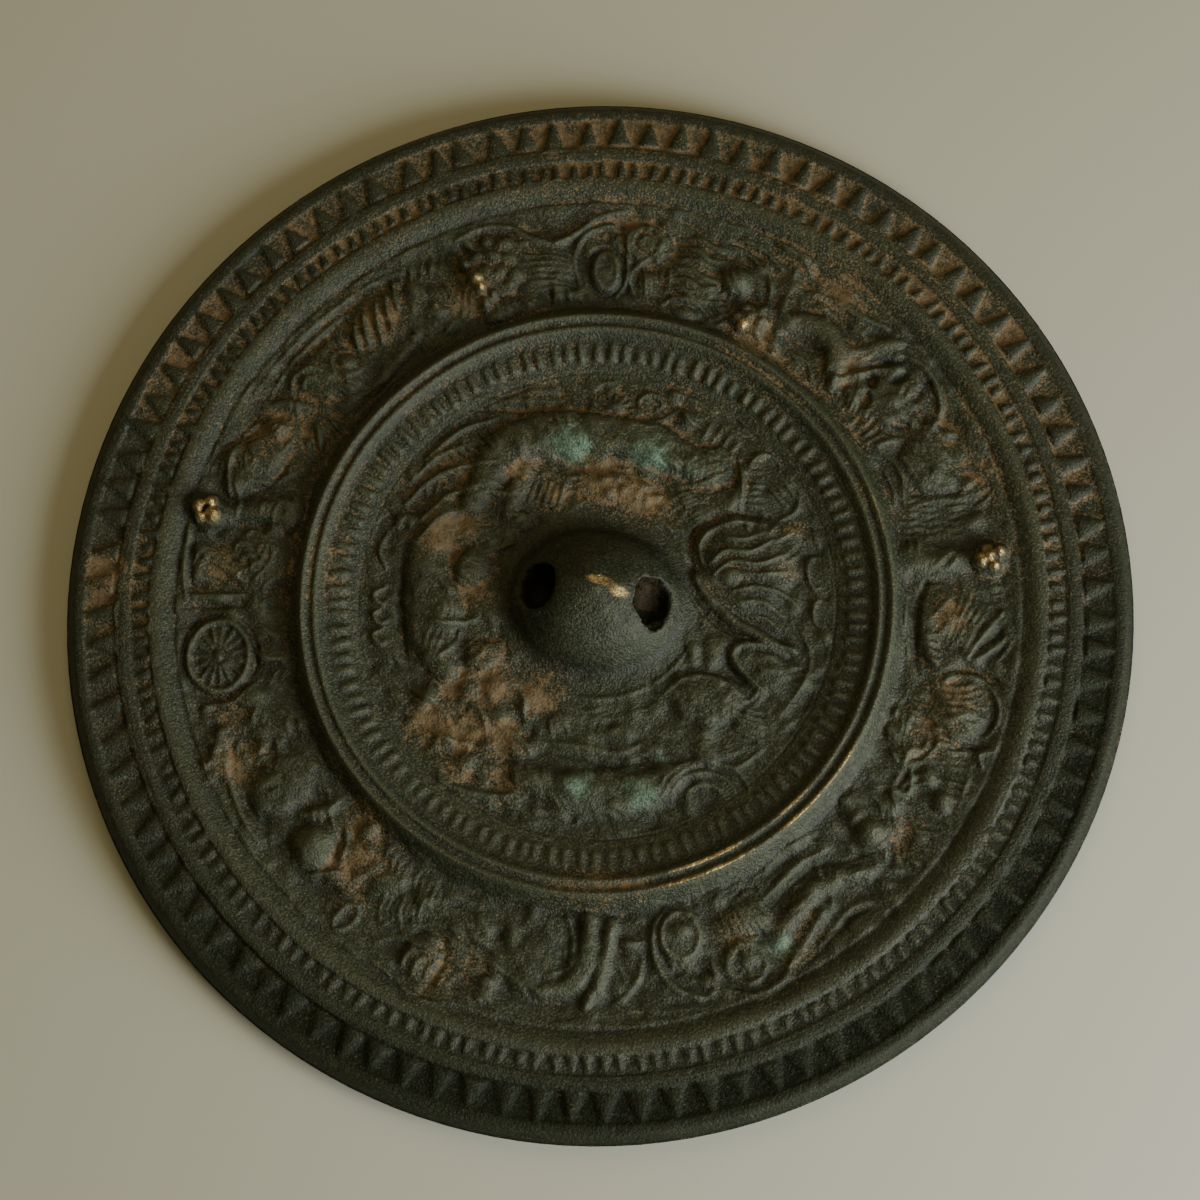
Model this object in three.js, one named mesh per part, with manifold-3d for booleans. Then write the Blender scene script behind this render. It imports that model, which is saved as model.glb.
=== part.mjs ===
// A cast bronze mirror lying on its polished face, decorated back up.
// Millimetres, +Z up. The origin is the centre of the flat spot under the face,
// and +X runs along the cord hole through the knob.

import * as THREE from 'three';
import { mergeVertices } from 'three/addons/utils/BufferGeometryUtils.js';
import Module from 'manifold-3d';

const wasm = await Module();
wasm.setup();

const UP = new THREE.Vector3(0, 0, 1);

// ---- driving dimensions -------------------------------------------------

// The face: flat in the middle, then gently convex, so that the rim stands clear.
const FACE_FLAT_RADIUS = 40;
const FACE_RADIUS = 99;
const FACE_LIFT = 1.5;
const FACE_RINGS = 2;

// The rim: a wall that slopes in from the face to a level top.
const RIM_RADIUS = 100;
const RIM_BELLY_Z = 2.6;
const RIM_SHOULDER_RADIUS = 99.5;
const RIM_SHOULDER_Z = 4.4;
const RIM_TOP_RADIUS = 97.7;
const RIM_TOP = 6.2;
const RIM_INNER_RADIUS = 80.8;
const STEP_FOOT_RADIUS = 79.6;

// The sawtooth ring: teeth left standing in a trough that is deepest on its inner side.
const TOOTH_COUNT = 96;
const TOOTH_BASE_RADIUS = 90.4;
const TOOTH_TIP_RADIUS = 96.3;
const TOOTH_BASE_SHARE = 0.86;
const TOOTH_TIP_WIDTH = 0.5;
const TOOTH_RUN_IN = 0.6;
const TOOTH_TOP_DROP = 0.05;
const TROUGH_DEPTH = 0.7;
const TROUGH_WALL = 0.3;

// Floors of the three decorated zones, and the double-crested ridge between the first two.
const BAND_FLOOR = 3.7;
const COMB_FLOOR = 4.2;
const FIELD_FLOOR = 3.4;
const RIDGE_FOOT_RADIUS = 57.2;
const RIDGE_OUTER_CREST = 55.2;
const RIDGE_INNER_CREST = 52.7;
const RIDGE_CREST_WIDTH = 0.7;
const RIDGE_TOP = 7.4;
const RIDGE_CHANNEL = 6.5;
const RIDGE_INNER_FOOT_RADIUS = 51.6;
const COMB_INNER_RADIUS = 46.6;
const FIELD_RADIUS = 44.4;

// The knob and the hole that a cord goes through.
const KNOB_RADIUS = 16.6;
const KNOB_NARROWING = 0.82;
const KNOB_FULLNESS = 0.72;
const KNOB_TOP = 16;
const KNOB_RINGS = 7;
const KNOB_SIDES = 32;
const KNOB_SKIRT = 1;
const HOLE_HALF_WIDTH = 4.3;
const HOLE_HALF_HEIGHT = 2.7;
const HOLE_Z = 9.8;
const HOLE_SIDES = 16;
const PIT_HALF_SIZE = [4, 4.5, 5.5];
const PIT_PLACE = [10.7, 0, 11];
const CHIP_RADIUS = 3;
const CHIP_PLACE = [12, -3, 10.6];

// The pattern is cast a little out of line with the cord hole.
const PATTERN_TURN = 8;

// How finely the round shapes are faceted, and how deep the figures are rooted in the floor.
const RING_SEGMENTS = 96;
const MOUND_SIDES = 10;
const MOUND_RINGS = 2;
const LIMB_SIDES = 8;
const ROOT_DEPTH = 1;
const MERGE_TOLERANCE = 1e-5;

// Round-headed studs that stand highest: [angle, radius, half-width, height].
const STUDS = [
  [164.7, 75.4, 2.6, 3.6],
  [7.6, 74.3, 2.7, 3.6],
  [63.5, 68.6, 3.2, 3.2],
  [109.4, 66.4, 3.0, 3.2],
  [222.2, 69.2, 3.7, 3.4],
  [317.9, 67.3, 2.8, 3.0],
];

// Chariot wheels and canopies: [angle, radius, outer radius, height].
const WHEELS = [
  [187.3, 71.6, 7.0, 1.3],
  [283.7, 65.4, 6.0, 1.3],
  [292.3, 71.5, 3.5, 1.1],
  [33.8, 69.5, 7.0, 1.3],
  [-16.8, 71.2, 6.6, 1.3],
  [82.3, 71.7, 4.0, 1.1],
];
const WHEEL_SIDES = 14;
const WHEEL_RIM_SHARE = 0.2;
const HUB_SHARE = 0.3;

// Bodies of beasts and riders: [angle, radius, half-length round the ring, half-width, height].
const BAND_BODIES = [
  [-4, 70, 7.0, 4.2, 1.2],
  [22, 68, 6.4, 5.0, 1.5],
  [51, 68, 6.6, 4.4, 2.0],
  [73, 68, 5.0, 4.0, 1.4],
  [98, 70, 6.5, 3.6, 1.4],
  [111, 72, 4.5, 4.2, 1.3],
  [126, 68, 6.0, 4.6, 1.4],
  [137, 70, 4.2, 4.4, 1.5],
  [152, 69, 8.0, 5.4, 1.7],
  [205, 69, 8.5, 5.0, 1.9],
  [236, 64, 5.0, 3.4, 1.3],
  [246.5, 74, 5.6, 3.2, 1.1],
  [268, 66, 6.0, 4.6, 1.6],
  [305, 68, 8.0, 3.8, 1.6],
  [329, 69, 7.0, 4.4, 1.5],
];

// The dragon's head, haunches and shoulders: [angle, radius, half-length, half-width, height].
const DRAGON_BODIES = [
  [14, 30, 9.0, 8.6, 2.2],
  [315, 29.5, 6.4, 5.4, 1.8],
  [112, 30, 8.0, 6.2, 2.6],
  [262, 34.5, 8.0, 5.0, 2.4],
  [172, 31, 8.0, 6.0, 2.2],
];

// Its coils, each an arc round the knob: [first angle, last angle, radius, half-width, height].
const DRAGON_COILS = [
  [132, 58, 31, 4.2, 2.2],
  [292, 238, 34, 3.6, 2.0],
  [200, 142, 32, 3.6, 1.8],
  [346, 322, 39, 1.6, 1.2],
];
const COIL_STEP = 9;

// ---- solids -------------------------------------------------------------

function toSolid(geometry) {
  const bare = geometry.clone();
  bare.deleteAttribute('normal');
  bare.deleteAttribute('uv');
  const merged = mergeVertices(bare, MERGE_TOLERANCE);
  const index = merged.index.array;
  const corners = [];
  for (let i = 0; i < index.length; i += 3) {
    const [a, b, c] = index.slice(i, i + 3);
    if (a !== b && b !== c && c !== a) {
      corners.push(a, b, c);
    }
  }
  const mesh = new wasm.Mesh({
    numProp: 3,
    vertProperties: merged.attributes.position.array,
    triVerts: Uint32Array.from(corners),
  });
  return new wasm.Manifold(mesh);
}

function toGeometry(solid) {
  const mesh = solid.getMesh();
  const geometry = new THREE.BufferGeometry();
  geometry.setAttribute('position', new THREE.BufferAttribute(mesh.vertProperties, 3));
  geometry.setIndex(new THREE.BufferAttribute(mesh.triVerts, 1));
  geometry.computeVertexNormals();
  return geometry;
}

// A turned shape from [radius, height] pairs, standing along Z.
function turned(profile, segments) {
  const points = profile.map(([radius, z]) => new THREE.Vector2(radius, z));
  return new THREE.LatheGeometry(points, segments).rotateX(Math.PI / 2);
}

// Moves a shape made round the origin to an angle and radius in the pattern,
// with its own +X pointing outward from the mirror's centre.
function placed(geometry, angle, radius, z) {
  const turn = THREE.MathUtils.degToRad(angle + PATTERN_TURN);
  return geometry.translate(radius, 0, z).rotateZ(turn);
}

// Height of the convex face above its flat spot.
function faceHeight(radius) {
  const rise = radius ** 2 - FACE_FLAT_RADIUS ** 2;
  return (FACE_LIFT * rise) / (FACE_RADIUS ** 2 - FACE_FLAT_RADIUS ** 2);
}

function disc() {
  const face = [[0, 0]];
  for (let i = 0; i <= FACE_RINGS; i += 1) {
    const radius = THREE.MathUtils.lerp(FACE_FLAT_RADIUS, FACE_RADIUS, i / FACE_RINGS);
    face.push([radius, faceHeight(radius)]);
  }
  const edge = [
    [RIM_RADIUS, RIM_BELLY_Z],
    [RIM_SHOULDER_RADIUS, RIM_SHOULDER_Z],
    [RIM_TOP_RADIUS, RIM_TOP],
  ];
  const rim = [
    [TOOTH_TIP_RADIUS + TOOTH_RUN_IN, RIM_TOP],
    [TOOTH_BASE_RADIUS, RIM_TOP - TROUGH_DEPTH],
    [TOOTH_BASE_RADIUS - TROUGH_WALL, RIM_TOP],
    [RIM_INNER_RADIUS, RIM_TOP],
    [STEP_FOOT_RADIUS, BAND_FLOOR],
  ];
  const half = RIDGE_CREST_WIDTH / 2;
  const ridge = [
    [RIDGE_FOOT_RADIUS, BAND_FLOOR],
    [RIDGE_OUTER_CREST + half, RIDGE_TOP],
    [RIDGE_OUTER_CREST - half, RIDGE_TOP],
    [RIDGE_OUTER_CREST - 2 * half, RIDGE_CHANNEL],
    [RIDGE_INNER_CREST + 2 * half, RIDGE_CHANNEL],
    [RIDGE_INNER_CREST + half, RIDGE_TOP],
    [RIDGE_INNER_CREST - half, RIDGE_TOP],
    [RIDGE_INNER_FOOT_RADIUS, COMB_FLOOR],
  ];
  const field = [
    [COMB_INNER_RADIUS, COMB_FLOOR],
    [FIELD_RADIUS, FIELD_FLOOR],
    [0, FIELD_FLOOR],
  ];
  return toSolid(turned([...face, ...edge, ...rim, ...ridge, ...field], RING_SEGMENTS));
}

// One triangular tooth, point outward, its root buried in the plain strip inside it.
function tooth(number) {
  const pitch = (2 * Math.PI * TOOTH_BASE_RADIUS) / TOOTH_COUNT;
  const root = (pitch * TOOTH_BASE_SHARE) / 2;
  const tip = TOOTH_TIP_WIDTH / 2;
  const inner = TOOTH_BASE_RADIUS - TOOTH_RUN_IN;
  const outline = new THREE.Shape();
  outline.moveTo(inner, -root);
  outline.lineTo(TOOTH_BASE_RADIUS, -root);
  outline.lineTo(TOOTH_TIP_RADIUS, -tip);
  outline.lineTo(TOOTH_TIP_RADIUS, tip);
  outline.lineTo(TOOTH_BASE_RADIUS, root);
  outline.lineTo(inner, root);
  const depth = 2 * TROUGH_DEPTH;
  const wedge = new THREE.ExtrudeGeometry(outline, { depth, bevelEnabled: false });
  wedge.translate(0, 0, RIM_TOP - TOOTH_TOP_DROP - depth);
  wedge.rotateZ(((number + 0.5) * 2 * Math.PI) / TOOTH_COUNT);
  return toSolid(wedge);
}

// A low rounded body: half an ellipsoid on a short root.
function mound([angle, radius, halfLength, halfWidth, height], floor) {
  const profile = [[0, -ROOT_DEPTH], [1, -ROOT_DEPTH]];
  for (let i = 0; i <= MOUND_RINGS; i += 1) {
    const tilt = ((i / MOUND_RINGS) * Math.PI) / 2;
    profile.push([Math.cos(tilt), height * Math.sin(tilt)]);
  }
  const dome = turned(profile, MOUND_SIDES).scale(halfWidth, halfLength, 1);
  return toSolid(placed(dome, angle, radius, floor));
}

// A round-backed coil that follows an arc about the mirror's centre.
function coil([first, last, radius, halfWidth, height]) {
  const steps = Math.round(Math.abs(last - first) / COIL_STEP);
  const route = [];
  for (let i = 0; i <= steps; i += 1) {
    const angle = THREE.MathUtils.lerp(first, last, i / steps) + PATTERN_TURN;
    const place = new THREE.Vector3(radius, 0, FIELD_FLOOR);
    route.push(place.applyAxisAngle(UP, THREE.MathUtils.degToRad(angle)));
  }
  const section = new THREE.Shape();
  section.absellipse(0, 0, height, halfWidth, 0, 2 * Math.PI);
  const settings = {
    steps,
    curveSegments: LIMB_SIDES / 2,
    extrudePath: new THREE.CatmullRomCurve3(route),
  };
  return toSolid(new THREE.ExtrudeGeometry(section, settings));
}

function stud([angle, radius, halfWidth, height]) {
  return mound([angle, radius, halfWidth, halfWidth, height], BAND_FLOOR);
}

// A felly ring with a domed hub. Its spokes are cast too finely for these solids.
function wheel([angle, radius, outer, height]) {
  const inner = outer * (1 - WHEEL_RIM_SHARE);
  const ring = [
    [inner, -height],
    [outer, -height],
    [outer, height / 2],
    [(inner + outer) / 2, height],
    [inner, height / 2],
    [inner, -height],
  ];
  const felly = toSolid(placed(turned(ring, WHEEL_SIDES), angle, radius, BAND_FLOOR));
  const hub = outer * HUB_SHARE;
  return felly.add(mound([angle, radius, hub, hub, height], BAND_FLOOR));
}

// The knob is a rounded dome, longer along the cord hole than across it, on a short sunk skirt.
function knob() {
  const rise = KNOB_TOP - FIELD_FLOOR;
  const profile = [[0, FIELD_FLOOR - KNOB_SKIRT], [KNOB_RADIUS, FIELD_FLOOR - KNOB_SKIRT]];
  for (let i = 0; i <= KNOB_RINGS; i += 1) {
    const tilt = (Math.PI / 2) * (1 - i / KNOB_RINGS);
    const height = rise * Math.cos(tilt) ** (2 * KNOB_FULLNESS);
    profile.push([KNOB_RADIUS * Math.sin(tilt), FIELD_FLOOR + height]);
  }
  return toSolid(turned(profile, KNOB_SIDES).scale(1, KNOB_NARROWING, 1));
}

// The cord hole runs right through the knob along X.
function cordHole() {
  const outline = new THREE.Shape();
  outline.absellipse(0, 0, HOLE_HALF_WIDTH, HOLE_HALF_HEIGHT, 0, 2 * Math.PI);
  const depth = 2 * (KNOB_RADIUS + 1);
  const settings = { depth, bevelEnabled: false, curveSegments: HOLE_SIDES / 2 };
  const bar = new THREE.ExtrudeGeometry(outline, settings).translate(0, 0, -depth / 2);
  bar.rotateX(Math.PI / 2).rotateZ(Math.PI / 2).translate(0, 0, HOLE_Z);
  return toSolid(bar);
}

// Behind each mouth the hole sags into a rounded pit. Side is 1 or -1 along X.
function mouthPit(side) {
  const ball = new THREE.SphereGeometry(1, MOUND_SIDES, 2 * MOUND_RINGS).rotateX(Math.PI / 2);
  const [x, y, z] = PIT_PLACE;
  return toSolid(ball.scale(...PIT_HALF_SIZE).translate(side * x, y, z));
}

// The mouth on the +X side is broken wider than the other.
function mouthChip() {
  const ball = new THREE.SphereGeometry(CHIP_RADIUS, MOUND_SIDES, 2 * MOUND_RINGS);
  return toSolid(ball.translate(...CHIP_PLACE));
}

function mirrorSolid() {
  let body = disc();
  for (let i = 0; i < TOOTH_COUNT; i += 1) {
    body = body.add(tooth(i));
  }
  const figures = [
    ...STUDS.map(stud),
    ...WHEELS.map(wheel),
    ...BAND_BODIES.map((place) => mound(place, BAND_FLOOR)),
    ...DRAGON_BODIES.map((place) => mound(place, FIELD_FLOOR)),
    ...DRAGON_COILS.map(coil),
    knob(),
  ];
  for (const figure of figures) {
    body = body.add(figure);
  }
  for (const hollow of [cordHole(), mouthPit(1), mouthPit(-1), mouthChip()]) {
    body = body.subtract(hollow);
  }
  return body;
}

// ---- the part -----------------------------------------------------------

const patinatedBronze = new THREE.MeshStandardMaterial({
  color: 0x363c2e,
  roughness: 0.5,
  metalness: 0.8,
});

const mirror = new THREE.Mesh(toGeometry(mirrorSolid()), patinatedBronze);
mirror.name = 'mirror';

const part = new THREE.Group();
part.add(mirror);

export default part;
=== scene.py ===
"""A cast bronze mirror with an old patina, lying on its face with its decorated back up."""

import math

import bpy
import numpy as np
from mathutils import Matrix, Vector


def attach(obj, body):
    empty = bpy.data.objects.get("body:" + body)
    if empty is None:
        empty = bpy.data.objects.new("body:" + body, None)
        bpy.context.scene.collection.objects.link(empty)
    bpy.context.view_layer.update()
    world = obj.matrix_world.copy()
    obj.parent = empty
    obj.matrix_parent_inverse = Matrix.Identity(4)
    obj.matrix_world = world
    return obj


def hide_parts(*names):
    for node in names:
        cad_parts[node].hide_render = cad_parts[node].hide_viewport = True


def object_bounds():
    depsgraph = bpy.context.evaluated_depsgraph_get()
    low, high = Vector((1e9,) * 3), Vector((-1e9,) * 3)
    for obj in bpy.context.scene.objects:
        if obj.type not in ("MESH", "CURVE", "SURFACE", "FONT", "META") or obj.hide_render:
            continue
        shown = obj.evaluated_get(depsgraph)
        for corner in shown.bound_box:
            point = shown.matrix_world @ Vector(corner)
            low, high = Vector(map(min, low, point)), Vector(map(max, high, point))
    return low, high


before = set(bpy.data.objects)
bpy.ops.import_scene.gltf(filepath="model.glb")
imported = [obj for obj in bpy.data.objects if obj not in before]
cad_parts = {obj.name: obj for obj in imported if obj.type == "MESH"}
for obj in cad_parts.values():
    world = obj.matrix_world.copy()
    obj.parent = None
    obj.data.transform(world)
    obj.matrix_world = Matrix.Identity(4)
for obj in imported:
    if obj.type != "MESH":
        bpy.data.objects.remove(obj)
cad_low, cad_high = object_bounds()

# ---- sizes ---------------------------------------------------------------
# All sizes are millimetres on a mirror 200 mm across. The frame's own width sets the scale.

METRE = (cad_high.x - cad_low.x) / 200.0
KNOB_TOP = cad_high.z / METRE

# The mesh stays this much inside the solid at the rim and at the top of the knob.
CLEARANCE = 0.02

RIM_RADIUS = 100.0 - CLEARANCE
RIM_BELLY_Z = 2.6
RIM_TOP = 6.2
FACE_FLAT_RADIUS = 40.0
FACE_RADIUS = 99.0
FACE_LIFT = 1.5

BAND_FLOOR = 3.7
COMB_FLOOR = 4.2
FIELD_FLOOR = 3.4
RIDGE_TOP = 7.4
RIDGE_CHANNEL = 6.5
BAND = (57.2, 79.6)
FIELD = (17.2, 44.4)

KNOB_RADIUS = 16.6
KNOB_NARROWING = 0.82
KNOB_FULLNESS = 0.72
HOLE_HALF_WIDTH = 4.3
HOLE_HALF_HEIGHT = 2.7
HOLE_Z = 9.8
PIT_HALF_SIZE = (4.0, 4.5, 5.5)
PIT_PLACE = (10.7, 0.0, 11.0)
CHIP_RADIUS = 3.0
CHIP_PLACE = (12.0, -3.0, 10.6)

# The pattern is cast a little out of line with the cord hole, which runs along X.
PATTERN_TURN = math.radians(8)

# The finest mesh step, before the mesh is thinned to the faces that its shape needs.
SPOKE_COUNT = 1600
RING_GAP = 0.24
FACE_LIMIT = 192000
CUTTER_SPOKES = 48

rng = np.random.default_rng(7)


# ---- the surface of the back, as heights over rings and spokes -------------

def back_profile():
    """The turned section of the back, from the middle out to the belly of the rim."""
    field = [(0, FIELD_FLOOR), (44.2, FIELD_FLOOR), (44.5, 3.75), (44.8, 3.4), (45.2, 3.8),
             (46.6, COMB_FLOOR)]
    comb = [(50.6, 5.2), (51.5, 5.6), (52.2, 6.4)]
    ridge = [(52.7, 6.9), (53.2, 6.95), (53.6, RIDGE_CHANNEL), (54.2, RIDGE_CHANNEL), (54.7, 7.0),
             (55.2, RIDGE_TOP), (55.5, RIDGE_TOP), (56.2, 6.4), (57.3, 4.9), (58.4, 3.9), (59.4, BAND_FLOOR)]
    band = [(74.8, BAND_FLOOR), (77.5, 4.4), (78.9, 4.9), (79.4, 4.6), (80.2, 5.1), (81.2, 5.7),
            (82.2, 6.1), (82.8, RIM_TOP)]
    strip = [(83.9, RIM_TOP), (84.2, 5.55), (87.5, 5.8), (87.8, RIM_TOP), (88.7, RIM_TOP),
             (89.0, 6.4), (89.3, RIM_TOP), (90.1, RIM_TOP)]
    teeth = [(90.6, 5.25), (95.9, 5.8), (96.4, RIM_TOP), (97.7, RIM_TOP)]
    edge = [(98.3, 6.0), (99.5, 4.4), (99.9, 3.3), (RIM_RADIUS, RIM_BELLY_Z)]
    radius, height = np.array(field + comb + ridge + band + strip + teeth + edge).T
    fine = np.linspace(0, RIM_RADIUS, 4001)
    return fine, round_off(fine, np.interp(fine, radius, height), 0.16)


def round_off(fine, height, size):
    """Rounds the corners of the section by about this many millimetres, but keeps its rim."""
    step = fine[1] - fine[0]
    reach = int(4 * size / step)
    bell = np.exp(-0.5 * (np.arange(-reach, reach + 1) * step / size) ** 2)
    padded = np.concatenate([height[reach:0:-1], height, 2 * height[-1] - height[-2:-reach - 2:-1]])
    return np.convolve(padded, bell / bell.sum(), mode="valid")


PROFILE_RADIUS, PROFILE_HEIGHT = back_profile()


def ring_radii():
    """Ring radii an equal distance apart along the section, so that walls get rings too."""
    slope = np.diff(PROFILE_HEIGHT) + 0.8 * np.diff(PROFILE_RADIUS) * (PROFILE_RADIUS[1:] < KNOB_RADIUS)
    run = np.hypot(np.diff(PROFILE_RADIUS), slope)
    along = np.concatenate([[0], np.cumsum(run)])
    stops = np.linspace(0, along[-1], int(along[-1] / RING_GAP))[1:]
    return np.interp(stops, along, PROFILE_RADIUS), stops


RINGS, ALONG = ring_radii()
SPOKES = np.arange(SPOKE_COUNT) * 2 * math.pi / SPOKE_COUNT
SHAPE = (len(RINGS), SPOKE_COUNT)
ANGLE = np.degrees(SPOKES - PATTERN_TURN) % 360
MAP_X = RINGS[:, None] * np.cos(SPOKES - PATTERN_TURN)
MAP_Y = RINGS[:, None] * np.sin(SPOKES - PATTERN_TURN)


def soften(layer, size):
    """Blurs a layer by this many millimetres, the same in every direction."""
    waves = np.arange(SPOKE_COUNT // 2 + 1) / RINGS[:, None]
    spectrum = np.fft.rfft(layer, axis=1) * np.exp(-0.5 * (waves * size) ** 2)
    spread = np.exp(-0.5 * ((ALONG[:, None] - ALONG) / size) ** 2)
    spread /= spread.sum(axis=1, keepdims=True)
    return spread @ np.fft.irfft(spectrum, n=SPOKE_COUNT, axis=1)


def grain(size):
    """Even random unevenness of this size, about -1 to 1."""
    layer = soften(rng.standard_normal(SHAPE), size)
    return layer / (layer.std(axis=1, keepdims=True) + 1e-9) / 2


def ramp(value, low, high):
    """A smooth step, from 0 at low to 1 at high."""
    share = np.clip((value - low) / (high - low), 0, 1)
    return share * share * (3 - 2 * share)


def window(x, y, reach):
    """The patch of rings and spokes within reach of a point of the pattern."""
    radius = math.hypot(x, y)
    rows = np.arange(*np.searchsorted(RINGS, (radius - reach, radius + reach)))
    if radius <= reach * 1.05:
        return np.ix_(rows, np.arange(SPOKE_COUNT))
    middle = math.atan2(y, x) + PATTERN_TURN
    half = math.asin(reach / radius)
    first, last = np.array((middle - half, middle + half)) * SPOKE_COUNT / (2 * math.pi)
    return np.ix_(rows, np.arange(math.floor(first), math.ceil(last) + 1) % SPOKE_COUNT)


# Three layers: rounded bodies, lines raised on them, and lines cut into them.
body = np.zeros(SHAPE)
line = np.zeros(SHAPE)
cut = np.zeros(SHAPE)


def raise_to(layer, patch, height):
    layer[patch] = np.maximum(layer[patch], height)


def smooth_path(points, steps=5):
    """A Catmull-Rom curve through the points."""
    ends = [2 * points[0] - points[1], *points, 2 * points[-1] - points[-2]]
    share = np.linspace(0, 1, steps, endpoint=False)[:, None]
    path = []
    for a, b, c, d in zip(ends, ends[1:], ends[2:], ends[3:]):
        bend = 2 * a - 5 * b + 4 * c - d
        path.append(b + 0.5 * share * (c - a + share * (bend + share * (3 * (b - c) + d - a))))
    return np.vstack([*path, points[-1]])


def stroke(layer, points, width, rise, taper=(0.45, 1, 0.45), crown=0.8):
    """A rounded line through the points, this wide and high in the middle, thinner to its ends."""
    path = smooth_path(np.array(points, float))
    middle = (path.min(axis=0) + path.max(axis=0)) / 2
    reach = np.hypot(*(path - middle).T).max() + width
    patch = window(*middle, reach)
    x, y = MAP_X[patch], MAP_Y[patch]
    place = np.linspace(0, 1, len(path))
    size = np.interp(place, np.linspace(0, 1, len(taper)), taper)
    height = np.zeros(x.shape)
    for i in range(len(path) - 1):
        start, run = path[i], path[i + 1] - path[i]
        share = ((x - start[0]) * run[0] + (y - start[1]) * run[1]) / (run @ run + 1e-12)
        share = np.clip(share, 0, 1)
        away = (x - start[0] - share * run[0]) ** 2 + (y - start[1] - share * run[1]) ** 2
        thick = size[i] + share * (size[i + 1] - size[i])
        fill = np.maximum(1 - away / (width / 2 * thick) ** 2, 0) ** crown
        height = np.maximum(height, rise * thick ** 0.5 * fill)
    raise_to(layer, patch, height)


def lump(layer, at, size, rise, lean=0.0, crown=0.55):
    """A rounded mound. Size is its half-length and half-width, lean is degrees from the pattern's X."""
    patch = window(*at, max(size) * 1.02)
    x, y = MAP_X[patch] - at[0], MAP_Y[patch] - at[1]
    turn = math.radians(lean)
    along = (x * math.cos(turn) + y * math.sin(turn)) / size[0]
    across = (y * math.cos(turn) - x * math.sin(turn)) / size[1]
    raise_to(layer, patch, rise * np.maximum(1 - along ** 2 - across ** 2, 0) ** crown)


def arc(at, size, first, last, lean=0.0, count=7):
    """Points on part of an oval, for a stroke."""
    turn = math.radians(lean)
    points = []
    for angle in np.radians(np.linspace(first, last, count)):
        x, y = size[0] * math.cos(angle), size[1] * math.sin(angle)
        points.append((at[0] + x * math.cos(turn) - y * math.sin(turn),
                       at[1] + x * math.sin(turn) + y * math.cos(turn)))
    return points


def hatch(first_start, first_end, last_start, last_end, count, width=0.7, rise=0.45, bow=0.0):
    """A row of strokes that starts along one line and ends along another, like hair or feathers."""
    first, last = np.array((first_start, first_end)), np.array((last_start, last_end))
    for share in np.linspace(0, 1, count):
        start, end = first + share * (last - first)
        side = np.array((start[1] - end[1], end[0] - start[0])) * bow
        wobble = rng.uniform(-0.25, 0.25, 2)
        points = [start + wobble, (start + end) / 2 + side, end - wobble]
        stroke(line, points, width * rng.uniform(0.8, 1.2), rise * rng.uniform(0.75, 1.1))


def scales(at, size, pitch, rise=0.35, lean=0.0):
    """Overlapping round scales over an oval of a body."""
    turn = math.radians(lean)
    for row in range(-int(size[1] / pitch) - 1, int(size[1] / pitch) + 2):
        for column in range(-int(size[0] / pitch) - 1, int(size[0] / pitch) + 2):
            along = (column + 0.5 * (row % 2)) * pitch * 1.05
            across = row * pitch * 0.8
            if (along / size[0]) ** 2 + (across / size[1]) ** 2 > 1:
                continue
            wobble = rng.uniform(-0.12, 0.12, 2) * pitch
            x = at[0] + along * math.cos(turn) - across * math.sin(turn) + wobble[0]
            y = at[1] + along * math.sin(turn) + across * math.cos(turn) + wobble[1]
            lump(line, (x, y), (pitch * 0.52, pitch * 0.42), rise * rng.uniform(0.7, 1.1), lean)


def wheel(at, size, spokes, lean=0.0, rise=1.1):
    """A chariot wheel: a felly ring, thin spokes and a hub."""
    lump(body, at, size, rise * 0.45, lean)
    stroke(line, arc(at, (size[0] * 0.9, size[1] * 0.9), 0, 360, lean, 17), 1.3, rise * 0.7, (1, 1))
    for angle in np.linspace(0, 360, spokes, endpoint=False) + rng.uniform(0, 20):
        inner = arc(at, (size[0] * 0.25, size[1] * 0.25), angle, angle, lean, 1)[0]
        outer = arc(at, (size[0] * 0.85, size[1] * 0.85), angle, angle, lean, 1)[0]
        stroke(line, [inner, outer], 0.6, rise * 0.42, (1, 1))
    lump(line, at, (1.1, 1.1), rise * 0.7)


def board(angle):
    """Lays out figures on a straight board at this angle of the pattern: across it clockwise,
    and out from the middle of the mirror."""
    turn = math.radians(angle)

    def at(*places):
        points = [(out * math.cos(turn) + across * math.sin(turn),
                   out * math.sin(turn) - across * math.cos(turn)) for across, out in places]
        return points[0] if len(points) == 1 else points

    return at


# ---- rows of teeth ---------------------------------------------------------

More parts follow.
